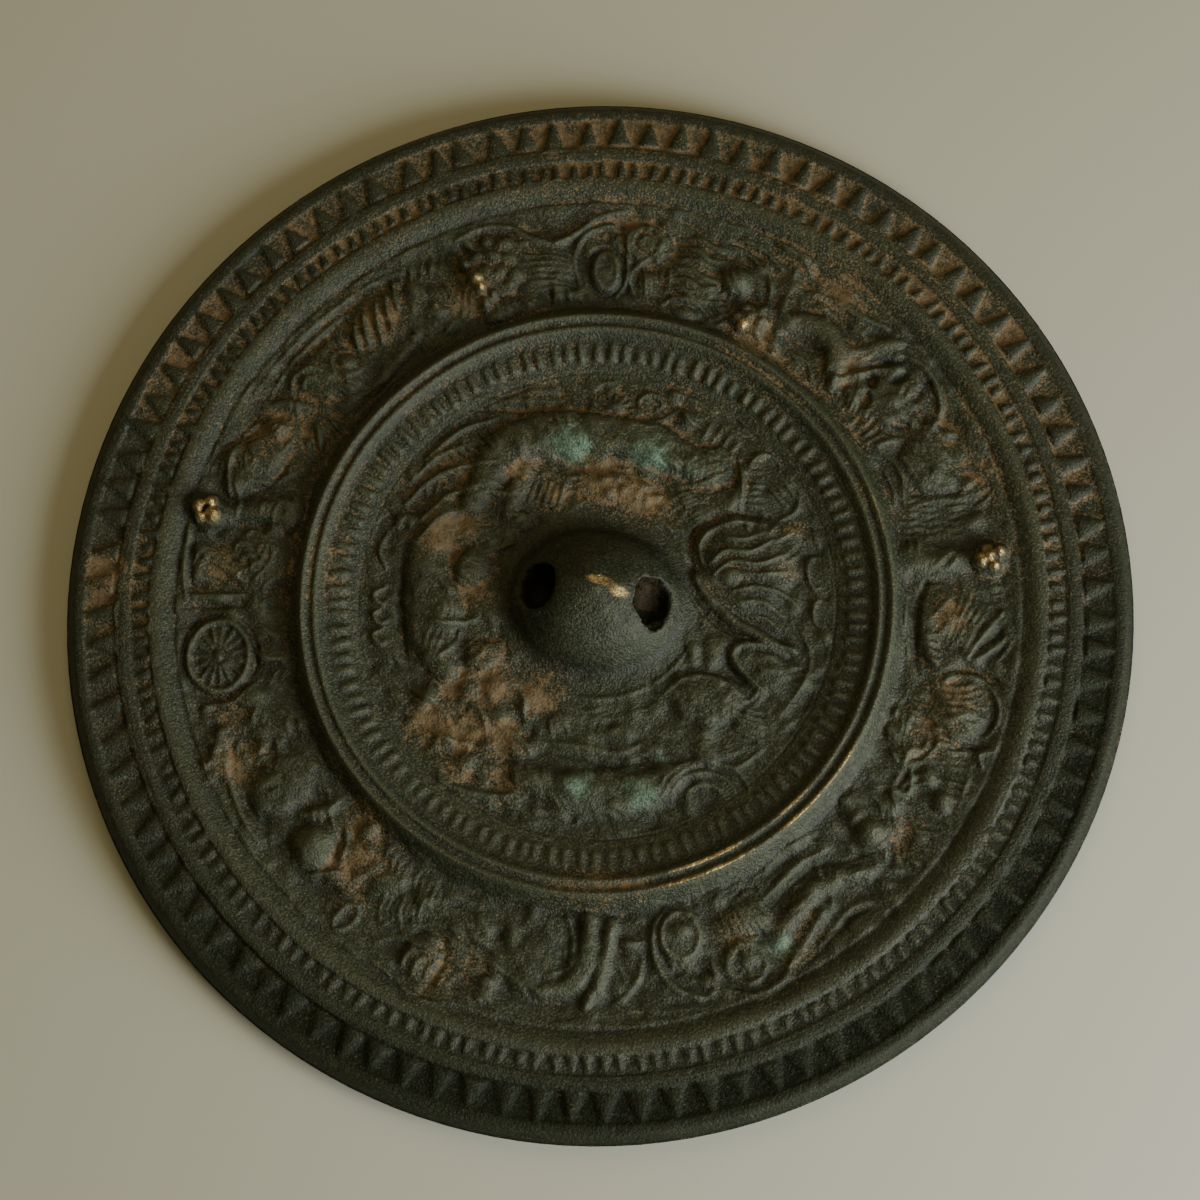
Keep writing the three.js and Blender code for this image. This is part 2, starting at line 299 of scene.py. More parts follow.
def tooth_row(count, inner, outer, root, tip, rise, wander, taper=1.15):
    """Hand-cut teeth that point outward, rounded on top and never quite alike."""
    pitch = 2 * math.pi / count
    rows = np.arange(*np.searchsorted(RINGS, (inner - 0.8, outer + 0.8)))
    radius = RINGS[rows][:, None]
    for number in range(count):
        middle = (number + 0.5 + rng.uniform(-wander, wander)) * pitch
        start = inner + rng.uniform(-0.3, 0.2)
        end = outer + rng.uniform(-0.6, 0.3)
        wide = root * rng.uniform(0.85, 1.1)
        lean = rng.uniform(-0.4, 0.4)
        first = math.floor((middle - pitch) / (2 * math.pi) * SPOKE_COUNT)
        last = math.ceil((middle + pitch) / (2 * math.pi) * SPOKE_COUNT)
        columns = np.arange(first, last)
        across = (columns * 2 * math.pi / SPOKE_COUNT - middle) * radius
        along = (radius - start) / (end - start)
        half = tip + (wide - tip) * (1 - np.clip(along, 0, 1) ** taper)
        crown = np.clip(1 - ((across - lean * along) / half) ** 2, 0, 1) ** 0.5
        ends = ramp(along, -0.15, 0.08) * ramp(1 - along, -0.08, 0.16)
        height = rise * rng.uniform(0.8, 1.1) * (1 - 0.45 * np.clip(along, 0, 1))
        raise_to(line, np.ix_(rows, columns % SPOKE_COUNT), height * crown * ends)


def rows_of_teeth():
    tooth_row(96, inner=90.8, outer=96.1, root=2.45, tip=0.5, rise=1.25, wander=0.11, taper=1.05)
    tooth_row(176, inner=84.4, outer=87.3, root=1.1, tip=0.35, rise=1.0, wander=0.14)
    tooth_row(112, inner=47.2, outer=50.6, root=0.86, tip=0.6, rise=0.85, wander=0.14, taper=3)


# ---- the band of chariots and beasts ---------------------------------------

def stud(at, neck, radius, rise, bumps):
    """A high nipple with a worn, knobbly head and a neck that runs in to the ridge."""
    stroke(body, neck, radius * 2.1, rise * 0.55, (0.7, 0.8, 1.1), 0.7)
    lump(body, at, (radius * 1.2, radius * 1.2), rise, crown=0.6)
    for x, y, size in bumps:
        lump(line, (x, y), (size, size), 1.9, crown=0.5)


def beasts_right():
    """The shafted stud, the feathered wing and the striped canopy at the right."""
    at = board(0)
    bumps = [(*at((-9.0, 75.8)), 1.4), (*at((-5.7, 74.4)), 1.2), (*at((-7.6, 73.2)), 1.2),
             (*at((-7.0, 71.4)), 1.5)]
    stud(at((-7.6, 73.4)), at((-7.8, 70), (-7.6, 64), (-7.4, 57.6)), 3.0, 3.1, bumps)
    stroke(line, at((-5.6, 68), (-5.3, 65.4), (-5.8, 62.6)), 0.8, 0.5)
    for across in (-19.6, -18.2, -16.8, -15.4, -14.0, -12.6):
        for out in (67, 62.4, 58.6):
            stroke(line, at((across - 0.3, out + 2.4), (across + 0.5, out), (across, out - 1.8)), 0.9, 0.5)
    hatch(*at((-3.8, 76), (-3.2, 72)), *at((0.6, 76.4), (1.4, 72.4)), 4, 0.8, 0.5)
    hatch(*at((1.2, 73.4), (6.4, 69.6)), *at((-2.2, 68.6), (3.6, 66.4)), 5, 0.9, 0.65, 0.04)
    hatch(*at((5.4, 70.4), (10.6, 67.4)), *at((4.2, 66.6), (10.2, 63.6)), 5, 0.9, 0.6, 0.04)
    hatch(*at((-0.6, 66.2), (4.4, 61.8)), *at((3.6, 67), (8.6, 63.4)), 6, 0.85, 0.65)
    stroke(line, at((2.4, 75.8), (6, 72.6), (11.4, 68.6)), 1.7, 1.0)
    stroke(cut, at((4.9, 76), (7.2, 74), (9.2, 70.8)), 1.9, 0.8, (0.5, 1, 0.5))
    stroke(line, at((7.4, 76), (9.8, 73.4), (11.6, 70.2)), 1.2, 0.9)
    lump(body, at((4, 67.6)), (8.4, 5.2), 1.1, -30)
    lump(body, at((4, 61.8)), (7.6, 1.6), 1.2, -92)
    stroke(cut, at((-3.4, 61.8), (0.4, 60.2), (5, 59.5), (10, 59.3), (14, 59.7)), 1.5, 0.8, (0.8, 1, 0.4))
    stroke(line, at((-2, 58.2), (4, 57.6), (11, 58)), 1.3, 0.7)
    hatch(*at((7, 64.4), (6.6, 61)), *at((12.2, 63.4), (10.4, 61)), 4, 1.0, 0.7)
    stroke(cut, at((16.4, 74.8), (13.9, 71.8), (13.2, 68), (13.7, 65.2), (15, 63.6)), 1.5, 0.7)
    stroke(line, at((17.4, 73.6), (15.2, 71), (14.5, 68), (14.8, 65.6)), 1.2, 0.8)
    stroke(line, arc(at((21, 67.8)), (6.6, 6.4), -60, 120, 0, 9), 1.2, 0.7, (0.5, 1, 0.7))
    lump(body, at((20.8, 67.4)), (6.4, 6), 0.9)
    for across in (16.4, 17.8, 19.2, 23.8, 25.2):
        stroke(line, at((across - 0.6, 71.6), (across + 0.4, 67.8), (across, 63)), 0.9, 0.55)
    stroke(cut, at((21.2, 71.2), (20, 68), (20.5, 64)), 0.9, 0.5)
    stroke(line, at((22.8, 71.6), (22, 68.6), (22.8, 65), (21.8, 61.4)), 1.5, 0.9)
    stroke(cut, at((27.5, 72.6), (27.9, 69.2), (27.3, 66)), 1.0, 0.6)
    stroke(line, at((29, 73), (29.4, 70.4), (32, 71)), 1.4, 0.8)
    for size in (2.0, 3.8, 5.6):
        stroke(line, arc(at((36.4, 60)), (size, size * 0.9), 80, 230, 0), 1.2, 0.8)
    hatch(*at((27.6, 66.4), (26.8, 61.6)), *at((32.4, 65.6), (31.2, 62.4)), 5, 0.9, 0.6)
    hatch(*at((18.6, 61.6), (18, 58)), *at((26, 60.8), (25, 58)), 6, 0.9, 0.55)


def beasts_upper_right():
    """A scaly beast, a canopy of spokes, a striding beast and the rough dome."""
    at = board(22)
    lump(body, at((-0.6, 68)), (6.4, 5.4), 1.4, -60)
    scales(at((-0.6, 68)), (6, 4.8), 1.5, 0.45, -60)
    stroke(cut, at((6.8, 73.4), (5.2, 68), (3.2, 62.6)), 1.1, 0.7)
    stroke(line, at((8, 72), (6.4, 67), (5, 61)), 1.0, 0.7)
    stroke(line, at((-7.6, 60), (-2, 62.4), (4.6, 60.6)), 1.2, 0.7)
    stroke(line, at((-8, 57.8), (-1, 60), (5, 58.6)), 1.1, 0.6)
    hatch(*at((-6.8, 66), (-8.4, 61.4)), *at((-5, 73.6), (-8.2, 70)), 5, 1.0, 0.6)
    at = board(45)
    stroke(line, at((6.4, 74.4), (10, 75.9), (14, 75.8), (18, 74), (20.8, 70.8), (21.6, 66)), 1.6, 0.9)
    stroke(cut, at((7.6, 73), (11, 74.3), (14.6, 74), (18.2, 71.8)), 0.8, 0.4)
    lump(body, at((12.8, 67.6)), (7.2, 6.2), 1.1)
    petals = ((6.4, 67.4, 40), (10.1, 71.3, 110), (14.9, 71.4, 70), (17.8, 68.6, 10), (16.5, 64.8, -30),
              (8.4, 63.6, 60))
    for across, out, lean in petals:
        lump(cut, at((across, out)), (2.0, 1.1), 1.0, 45 - lean + 90)
    lump(line, at((12.6, 67.2)), (1.8, 1.6), 0.5)
    hatch(*at((2.4, 65.2), (4.4, 58.8)), *at((9.6, 63.8), (11, 58.4)), 7, 0.95, 0.7, 0.05)
    hatch(*at((11.4, 62.4), (11.6, 57.8)), *at((17, 61), (15.6, 57.6)), 4, 1.3, 0.9, 0.08)
    stroke(body, at((5.6, 77), (2.8, 73), (0, 68.4)), 3.2, 1.3, (0.9, 1, 0.7))
    stroke(cut, at((8.6, 75.4), (5.4, 70.6), (2.8, 66.2), (1.4, 63.4)), 1.4, 0.9)
    stroke(body, at((8.8, 73.2), (5.6, 69), (2.8, 64.8), (1.6, 62.4)), 2.0, 1.4, (0.7, 1, 1))
    lump(line, at((1.5, 62.4)), (1.2, 1.0), 0.8)
    stroke(body, at((-12.8, 64.4), (-9.8, 66.8), (-6.6, 68), (-2.8, 67.2), (0.2, 64.2), (2, 61.4)),
           5.4, 1.9, (0.7, 1, 1, 0.6), 0.6)
    stroke(cut, at((-13.6, 67.4), (-10.4, 70), (-6.6, 71.6), (-2.4, 72)), 1.3, 0.6)
    stroke(line, at((-14.6, 71.4), (-9, 74), (-3, 75.2), (1.8, 77)), 1.8, 0.9)
    stroke(line, arc(at((-0.2, 73.8)), (1.5, 1.2), 0, 270, 45), 0.8, 0.7)
    stroke(cut, at((-7.4, 62.8), (-4, 64.6), (-1.4, 61.6)), 1.5, 0.5)
    stroke(line, at((-8, 60.4), (-4.4, 61.2), (-1, 58.8)), 1.2, 0.6)
    stroke(body, at((-17.4, 70.6), (-15.6, 66), (-13, 61.4), (-10.6, 57.6)), 2.6, 1.3)
    lump(body, at((-25.6, 63.4)), (3.2, 2.8), 2.8)
    lump(body, at((-18.2, 59.6)), (4.2, 3.4), 2.0)
    for across, out in ((-20.8, 60.8), (-18.6, 57.8), (-16.4, 60.6), (-17.8, 62.6), (-15.2, 58.6),
                        (-20.6, 58), (-18.6, 60.2)):
        lump(line, at((across, out)), (1.3, 1.0), 0.9, rng.uniform(0, 90))
    stroke(line, at((-32.6, 68.8), (-27.4, 71.6), (-20, 71.4)), 1.2, 0.7)
    stroke(line, at((-24.6, 70.4), (-20.6, 67.8), (-18.2, 64.6)), 1.6, 0.9)
    stroke(line, at((-26, 74.6), (-19, 75.4), (-14.8, 73.2)), 1.5, 0.7)
    hatch(*at((-26.6, 60.6), (-29.4, 57.6)), *at((-22.6, 58.8), (-24.4, 56.8)), 4, 1.2, 0.8)


def beasts_top():
    """Rings, a wing of long feathers and a curling edge at the top."""
    at = board(90)
    lump(body, at((1.6, 65.4)), (4.4, 5.8), 1.2)
    stroke(cut, arc(at((1.6, 65.4)), (3.5, 4.9), 0, 360, 0, 13), 1.1, 0.7, (1, 1))
    stroke(line, arc(at((1.6, 65.5)), (2.2, 3.6), 0, 360, 0, 11), 0.8, 0.4, (1, 1))
    stroke(line, at((5.2, 74.4), (0.8, 74.6), (-3, 72.2), (-4.4, 68), (-3.4, 62.4)), 1.5, 0.9)
    stroke(line, at((5.6, 71), (5.8, 67), (5.2, 63), (3.4, 60)), 1.3, 0.9)
    lump(body, at((9.2, 71.2)), (5.2, 4.8), 1.2)
    stroke(cut, arc(at((9.2, 71.2)), (4.3, 3.9), -30, 230, 0, 11), 1.1, 0.6, (0.6, 1))
    stroke(cut, arc(at((9.4, 71)), (2.2, 1.9), 0, 360, 0, 9), 0.8, 0.5, (1, 1))
    stroke(line, at((5.3, 70.6), (6.2, 73.4), (8.4, 74.4)), 1.2, 0.7)
    stroke(line, at((9.6, 67.8), (6.9, 65.8), (6.3, 62.6), (7.4, 59.6)), 1.5, 1.0)
    stroke(line, at((13.2, 67.8), (14, 63.6), (12.4, 59.8)), 1.0, 0.6)
    hatch(*at((8, 65.8), (8.2, 60.8)), *at((12.2, 66.2), (12, 60.4)), 5, 0.85, 0.6)
    lump(body, at((-14.4, 67.4)), (10.6, 6.2), 1.3, -4)
    stroke(line, at((-27.6, 71.8), (-22, 74.4), (-16.4, 74), (-11.6, 71.6), (-8, 71.2), (-4.6, 73),
                    (0.6, 76.4), (6, 77.4)), 1.7, 0.9, (0.6, 1, 1, 0.6))
    hatch(*at((-15.6, 71.2), (-5.4, 70.2)), *at((-13, 61.6), (-4.4, 62)), 8, 0.95, 0.6, 0.04)
    for across, out in ((-25, 71), (-21.6, 71.8), (-18.2, 71), (-23.6, 68.2), (-20.4, 68.4), (-17, 67.8),
                        (-18.8, 65.4), (-15.8, 64.6), (-17.4, 62.2), (-22, 65.8)):
        lump(line, at((across, out)), (1.8, 1.2), 0.75, rng.uniform(-50, 50))
    bumps = [(*at((-25.8, 66.4)), 1.4), (*at((-23.6, 63.4)), 1.8), (*at((-19.9, 60.4)), 1.1),
             (*at((-21.6, 58.6)), 1.3), (*at((-22.4, 61.4)), 1.2)]
    stud(at((-22.4, 62.4)), at((-21, 60.4), (-20, 59), (-18.8, 57.4)), 3.4, 2.6, bumps)
    stroke(body, at((-26.8, 68.6), (-25.2, 65.6), (-23.2, 63)), 2.2, 1.9)
    stroke(body, at((-7.6, 61.4), (-5, 60.6), (-2.8, 61.4)), 2.4, 1.2)
    hatch(*at((-31.8, 66.6), (-28.4, 62.6)), *at((-28, 67), (-26, 61.4)), 4, 1.0, 0.7)
    at = board(73)
    lump(body, at((-1, 67)), (7.4, 6), 1.1, 60)
    for out in (73.4, 71.2, 69, 66.8, 64.6, 62.6):
        lift = rng.uniform(-0.6, 0.6)
        stroke(line, at((-6, out - lift), (-2.4, out + 0.9), (1.4, out + lift), (5, out + 0.5)), 1.1, 0.65)
    stroke(line, at((-5.6, 59.4), (-3, 61.6), (1.4, 61.4), (4.4, 59.4)), 1.3, 0.9)
    lump(body, at((-0.6, 59)), (2.8, 1.8), 1.4)
    stroke(line, at((3.4, 75), (8, 74.2), (12.6, 71)), 1.2, 0.7)
    hatch(*at((5.4, 66.6), (4.6, 62)), *at((8.8, 66), (7.6, 61.8)), 3, 1.0, 0.6)


def beasts_upper_left():
    """A feathered fan, a maned head and a smooth hump under a leaf outline."""
    at = board(135)
    stroke(line, at((-18, 75.2), (-9, 77), (2, 77.2), (13, 75.8), (19, 73.6)), 1.2, 0.55)
    stroke(line, at((-17, 72.8), (-8, 75), (2, 75.2), (10, 74.2)), 1.3, 0.7)
    lump(body, at((10.6, 68.6)), (9, 5), 1.0, 20)
    for across, out, reach in ((8.2, 72.2, 5.6), (11.4, 72.2, 6.8), (14, 72, 6.0), (16.6, 72.6, 4.6),
                               (5.4, 71.8, 4.2)):
        start, middle = (across, out), (across - 0.36 * reach, out - 0.5 * reach)
        stroke(line, at(start, middle, (across - 0.62 * reach, out - 0.95 * reach)), 1.9, 1.2, (0.7, 1, 0.6))
    lump(body, at((-4, 68)), (7.4, 4.8), 1.4)
    lump(line, at((-0.4, 67.4)), (1.9, 1.7), 0.8)
    stroke(line, arc(at((-0.4, 67.4)), (3.2, 2.8), 0, 360, 0, 13), 0.8, 0.5, (1, 1))
    stroke(line, at((-12.4, 70.6), (-10, 72.6), (-6.4, 71.8), (-5, 69.4)), 1.2, 0.8)
    stroke(line, at((-10.6, 69.6), (-8.4, 70.6), (-7, 68.6)), 1.0, 0.7)
    for angle in np.linspace(-20, 200, 11):
        ray = arc(at((-0.4, 67.4)), (4.2, 3.8), angle - 45, angle - 45, 0, 1)
        ray += arc(at((-0.4, 67.4)), (6.6, 5.8), angle - 45, angle - 45, 0, 1)
        stroke(line, ray, 0.9, 0.5)
    hatch(*at((-9.4, 67.6), (-9, 63.6)), *at((-4.4, 65), (-3.4, 61.6)), 5, 0.9, 0.6)
    stroke(body, at((-18, 72.6), (-14.6, 69.6), (-11.6, 66)), 2.8, 1.3)
    lump(body, at((-25.6, 65.4)), (9.4, 4.4), 1.8, 45)
    lump(body, at((-19.4, 67)), (2.6, 2.2), 2.2)
    stroke(line, at((-34.8, 64), (-30, 69), (-23, 71), (-17, 69.6)), 1.3, 0.8)
    stroke(cut, at((-31.4, 62), (-26.6, 60.2), (-19, 62.4)), 1.3, 0.6)
    stroke(line, at((-13, 63), (-15, 60), (-17, 57.6)), 1.4, 0.8)
    stroke(body, at((-8.4, 63), (-2, 60.4), (6, 60.6), (12.6, 62)), 3.2, 0.8)
    hatch(*at((11.4, 63.4), (12.4, 60)), *at((16.6, 62.6), (17, 59.4)), 5, 1.1, 0.8)
    lump(body, at((18.6, 62.6)), (2.6, 1.8), 1.3)
    hatch(*at((20, 68.2), (18.8, 64)), *at((24, 66.4), (22.2, 61.6)), 5, 1.1, 0.8)
    hatch(*at((20, 74), (17.4, 71.4)), *at((28, 70.6), (25, 68)), 5, 1.0, 0.6)


def chariot_left():
    """The shafted stud, a chariot with its spoked wheel and a grazing horse at the left."""
    at = board(180)
    bumps = [(*at((18.5, 75.6)), 1.7), (*at((16.3, 72.4)), 1.8), (*at((19.5, 72.8)), 1.4),
             (*at((16.0, 75.0)), 1.2)]
    stud(at((17.5, 73.6)), at((17.6, 70), (17.6, 63), (17.2, 58)), 3.1, 3.2, bumps)
    stroke(line, at((16.6, 68.4), (19.6, 67.8), (23, 68.8)), 1.1, 0.8)
    stroke(body, at((10.6, 75.4), (8, 71.4), (5, 67.2)), 3.4, 1.5, (1, 0.9, 0.6))
    stroke(line, at((0.8, 77.4), (7, 77.9), (14.4, 77.2)), 1.3, 0.8)
    stroke(cut, at((1.6, 76.4), (7, 76.7), (13.6, 76.2)), 0.9, 0.5)
    stroke(cut, at((-0.2, 76.4), (-0.7, 71.4), (-0.4, 66.8)), 1.3, 0.7)
    stroke(line, at((1.4, 76), (1.2, 71), (1.6, 66.6)), 1.9, 1.0)
    stroke(line, at((13.6, 76), (13.2, 73.8), (12.4, 72.6)), 1.8, 0.9)
    lump(body, at((8.6, 64)), (6.6, 6), 1.1)
    for across, out in ((8, 65.6), (10.6, 67), (12.8, 65), (10, 62.6), (6.6, 63.8), (5.2, 66.4),
                        (12.6, 61.6)):
        first = rng.uniform(0, 90)
        stroke(line, arc(at((across, out)), (1.4, 1.1), first, first + rng.uniform(140, 250)), 0.9, 0.65)
    lump(body, at((14.8, 61)), (1.8, 1.8), 1.2)
    wheel(at((-10.3, 70.7)), (6.3, 7.4), 15, 0, 1.5)
    stroke(cut, arc(at((-10.3, 70.7)), (7.0, 8.0), 70, 290, 0, 11), 1.3, 0.6)
    stroke(cut, arc(at((-10.3, 70.7)), (7.0, 8.0), -60, 60, 0, 9), 1.3, 0.7)
    stroke(line, at((-9, 65), (-10.6, 62), (-10.8, 58.6)), 1.2, 0.9)
    stroke(body, at((-22, 75), (-20.6, 73), (-19.4, 72)), 2.2, 1.1)
    stroke(line, at((-19.6, 71.6), (-19.2, 68), (-16.8, 65.4)), 1.3, 0.8)
    lump(body, at((-18.6, 64.4)), (2.8, 2.8), 1.2)
    lump(body, at((-24.8, 61.8)), (2.6, 1.6), 1.0)
    stroke(body, at((-35, 70.6), (-30.4, 71), (-25, 70.2)), 4.0, 1.7)
    for across, out in ((-33.6, 71.4), (-31, 72.2), (-28.2, 70.6), (-25.8, 72.2), (-26.4, 69.4), (-30, 69)):
        lump(line, at((across, out)), (1.3, 0.9), 0.8, rng.uniform(0, 90))
    stroke(cut, at((-23.8, 72), (-23.2, 69), (-24, 66.4)), 1.4, 0.5)
    stroke(line, at((-33.6, 66.4), (-28.6, 67), (-24.6, 65.4)), 1.0, 0.6)
    lump(body, at((27.2, 66.6)), (5.2, 4.2), 1.4, 20)
    stroke(cut, at((25, 74.6), (29, 72.4), (31.4, 69.6), (32.6, 65.4), (33.8, 61)), 1.5, 0.7)
    stroke(line, at((24.4, 72), (28.4, 70.8), (30, 67.6)), 1.2, 0.7)
    stroke(line, at((23.8, 66.4), (23.4, 62.6), (24.6, 58.8)), 1.3, 0.8)


def horse_lower_left():
    """The smooth dome over a horse's back, a striped oval and two long reins."""
    at = board(225)
    lump(body, at((4.2, 69.4)), (4.2, 4.2), 3.0)
    lump(body, at((16.4, 65)), (7.8, 5.0), 1.9, 45)
    stroke(body, at((10.4, 67.6), (8, 64), (7, 60)), 3.0, 1.3)
    stroke(body, at((22.4, 66), (25, 62.4), (26, 58.4)), 3.0, 1.1)
    stroke(cut, at((10.8, 74.4), (12.8, 73.4), (15, 71.4)), 1.8, 0.6)
    stroke(line, at((11.4, 76), (17.6, 74.8), (24, 71.8), (28.4, 69)), 1.6, 0.9)
    stroke(body, at((24.4, 72.8), (28, 70.4), (32, 68.2)), 4.6, 1.6)
    for across, out in ((26.6, 73.2), (28.6, 71), (29.8, 68.6), (32.2, 69.6), (31.6, 67.2), (27, 70)):
        lump(line, at((across, out)), (1.3, 1.0), 0.8, rng.uniform(0, 90))
    stroke(line, at((1.4, 74.4), (-0.6, 71.8), (-2.2, 69.4)), 1.6, 1.2)
    stroke(cut, at((-0.2, 68.6), (0.8, 66), (2.8, 63.8)), 1.2, 0.8)
    stroke(line, at((-1.4, 67.8), (0, 64.6), (2.4, 62.4), (3.4, 61.8)), 1.4, 1.2)
    stroke(line, at((4.4, 63.8), (6.6, 62.8), (6.8, 60.4)), 1.6, 1.0)
    for across, out in ((-5.8, 67.6), (-3.4, 65.2), (-4.2, 61.8), (-1, 59.8), (-6.6, 64.4), (-2.8, 70)):
        lump(body, at((across, out)), (2.4, 1.7), rng.uniform(0.9, 1.6), rng.uniform(0, 180))
    stroke(line, arc(at((-9.6, 74)), (2.9, 1.6), 0, 360, 45, 11), 1.1, 0.8, (1, 1))
    stroke(body, at((-7.2, 76.6), (-1, 77.4), (7, 76.4)), 1.6, 0.6)
    lump(body, at((-10.6, 64.6)), (5, 2.6), 1.4, 20)
    stroke(line, at((-14, 69.2), (-9.6, 70.2), (-4.4, 71.4)), 1.1, 0.7)
    hatch(*at((-20, 65.6), (-17.4, 61)), *at((-14.4, 70.4), (-12, 66)), 7, 1.1, 0.8, 0.1)
    hatch(*at((-22.4, 61.4), (-19.6, 58)), *at((-15.6, 62.6), (-13.2, 58.6)), 6, 1.1, 0.7, 0.1)
    hatch(*at((-12.6, 62.6), (-11, 59)), *at((-7.4, 62), (-6, 58.4)), 4, 1.1, 0.7, 0.1)
    lump(body, at((-25.2, 70.2)), (6.0, 3.8), 1.3, 65)
    stroke(cut, arc(at((-25.2, 70.2)), (6.6, 4.0), 0, 360, 65, 15), 1.3, 0.5, (1, 1))
    for across, out in ((-29.6, 68.8), (-27.3, 69.8), (-24.9, 70.8), (-22.5, 71.2)):
        stroke(line, at((across - 1, out + 2.2), (across + 0.3, out), (across - 0.1, out - 2)), 1.1, 0.9)
    stroke(line, at((-35, 71), (-30, 74.6), (-23, 75.6), (-15.4, 76)), 1.4, 0.8)
    stroke(line, at((-36, 63.8), (-29, 66), (-22.4, 67.8), (-18.4, 70.4), (-16.6, 73.4)), 1.5, 0.9)
    stroke(line, at((-36, 60.4), (-29, 62.4), (-22.8, 64.4), (-18.6, 66.8)), 1.5, 0.9)
    stroke(line, at((-34, 58), (-28, 59.6), (-23, 61.4)), 1.1, 0.6)


def horse_bottom():
    """A galloping horse's legs and a chariot with two wheels at the bottom."""
    at = board(270)
    stroke(body, at((1.8, 75.4), (-0.6, 71), (-1.8, 66), (-3.0, 60.4)), 3.4, 1.9, (0.6, 1, 0.8))
    lump(line, at((-3.2, 62.2)), (1.5, 2.0), 0.6)
    stroke(body, at((10, 72.4), (5.6, 72), (2.6, 69.2), (1.2, 65), (0.8, 59.6)),
           4.6, 2.0, (0.7, 1, 0.8), 0.6)
    stroke(line, at((5.8, 73.6), (2.4, 71.2), (0.4, 67.6)), 1.0, 0.6)
    stroke(line, at((7.6, 69.4), (5, 68.4), (4, 65.6), (4, 61.8), (5, 59.2)), 1.5, 1.2, (0.7, 1, 0.8))
    hatch(*at((5.4, 67), (5.6, 64)), *at((8.4, 67.4), (8.4, 64.4)), 3, 0.8, 0.5)
    lump(body, at((11.6, 68)), (5.6, 5.4), 1.5, -10)
    stroke(line, at((-8.6, 66), (-8, 70), (-6, 73), (-3, 75.2)), 1.5, 1.0)
    stroke(line, at((-6.6, 71.6), (-4.6, 68.6), (-3.6, 65.8)), 1.1, 0.7)
    stroke(cut, at((-7.4, 65.4), (-5, 65.6), (-2.8, 65.2)), 1.3, 0.6)
    stroke(line, at((-8.8, 63.6), (-5.6, 63.8), (-3, 62.8)), 1.8, 1.0)
    stroke(body, at((15.6, 66.4), (14.6, 63), (15.4, 59.4)), 3.0, 1.0)
    stroke(body, at((19.4, 64), (20.4, 61), (21, 58)), 2.8, 1.2)
    stroke(line, at((13.4, 71.4), (19.6, 67), (26, 64), (33, 62.4)), 1.6, 0.9)
    stroke(line, at((16.8, 66.4), (23, 62.4), (30, 60)), 1.4, 0.8)
    lump(line, at((20.2, 70.6)), (1.5, 1.1), 0.9)
    hatch(*at((15, 75.4), (17, 72.8)), *at((25.6, 74.6), (27, 72.6)), 7, 1.0, 0.5)
    lump(body, at((-15.5, 62.6)), (4.6, 5.2), 1.1)
    stroke(line, arc(at((-15.5, 62.4)), (3.5, 4.3), 60, 400, 0, 13), 1.2, 0.9, (0.8, 1))
    lump(line, at((-15.8, 61.4)), (1.6, 1.4), 0.8)
    for across, out in ((-19.6, 68.6), (-17.7, 69.4), (-15.6, 69)):
        lump(cut, at((across, out)), (1.7, 0.7), 0.9, 10 * (across + 17))
    stroke(line, at((-22, 70.6), (-20.4, 73.6), (-15, 72.2), (-12, 69), (-10.6, 65), (-10.8, 60.4),
                    (-13, 57.6)), 1.5, 1.1, (0.6, 1, 1, 0.6))
    stroke(cut, at((-19.8, 71.8), (-15.6, 70.8), (-13.2, 68), (-12.2, 64.6)), 0.9, 0.5)
    stroke(line, at((-21.4, 74.4), (-22, 70.4), (-21, 66.6)), 1.3, 0.9)
    stroke(line, at((-20, 75), (-12, 76.2), (-6, 76)), 1.1, 0.5)
    wheel(at((-27.5, 67.4)), (3.9, 4.1), 8, 0, 1.5)
    stroke(line, at((-25, 71.6), (-23.6, 67.4), (-25.6, 63.6), (-29.4, 62.6)), 1.3, 0.9)
    stroke(line, at((-36, 66), (-34.4, 70), (-31, 73), (-26.4, 74.2)), 1.7, 1.0)
    lump(body, at((-26.8, 59.6)), (5.4, 3), 1.3, 20)
    hatch(*at((-32, 61.4), (-29.4, 57.6)), *at((-24.6, 63), (-22.4, 58)), 7, 0.95, 0.65)


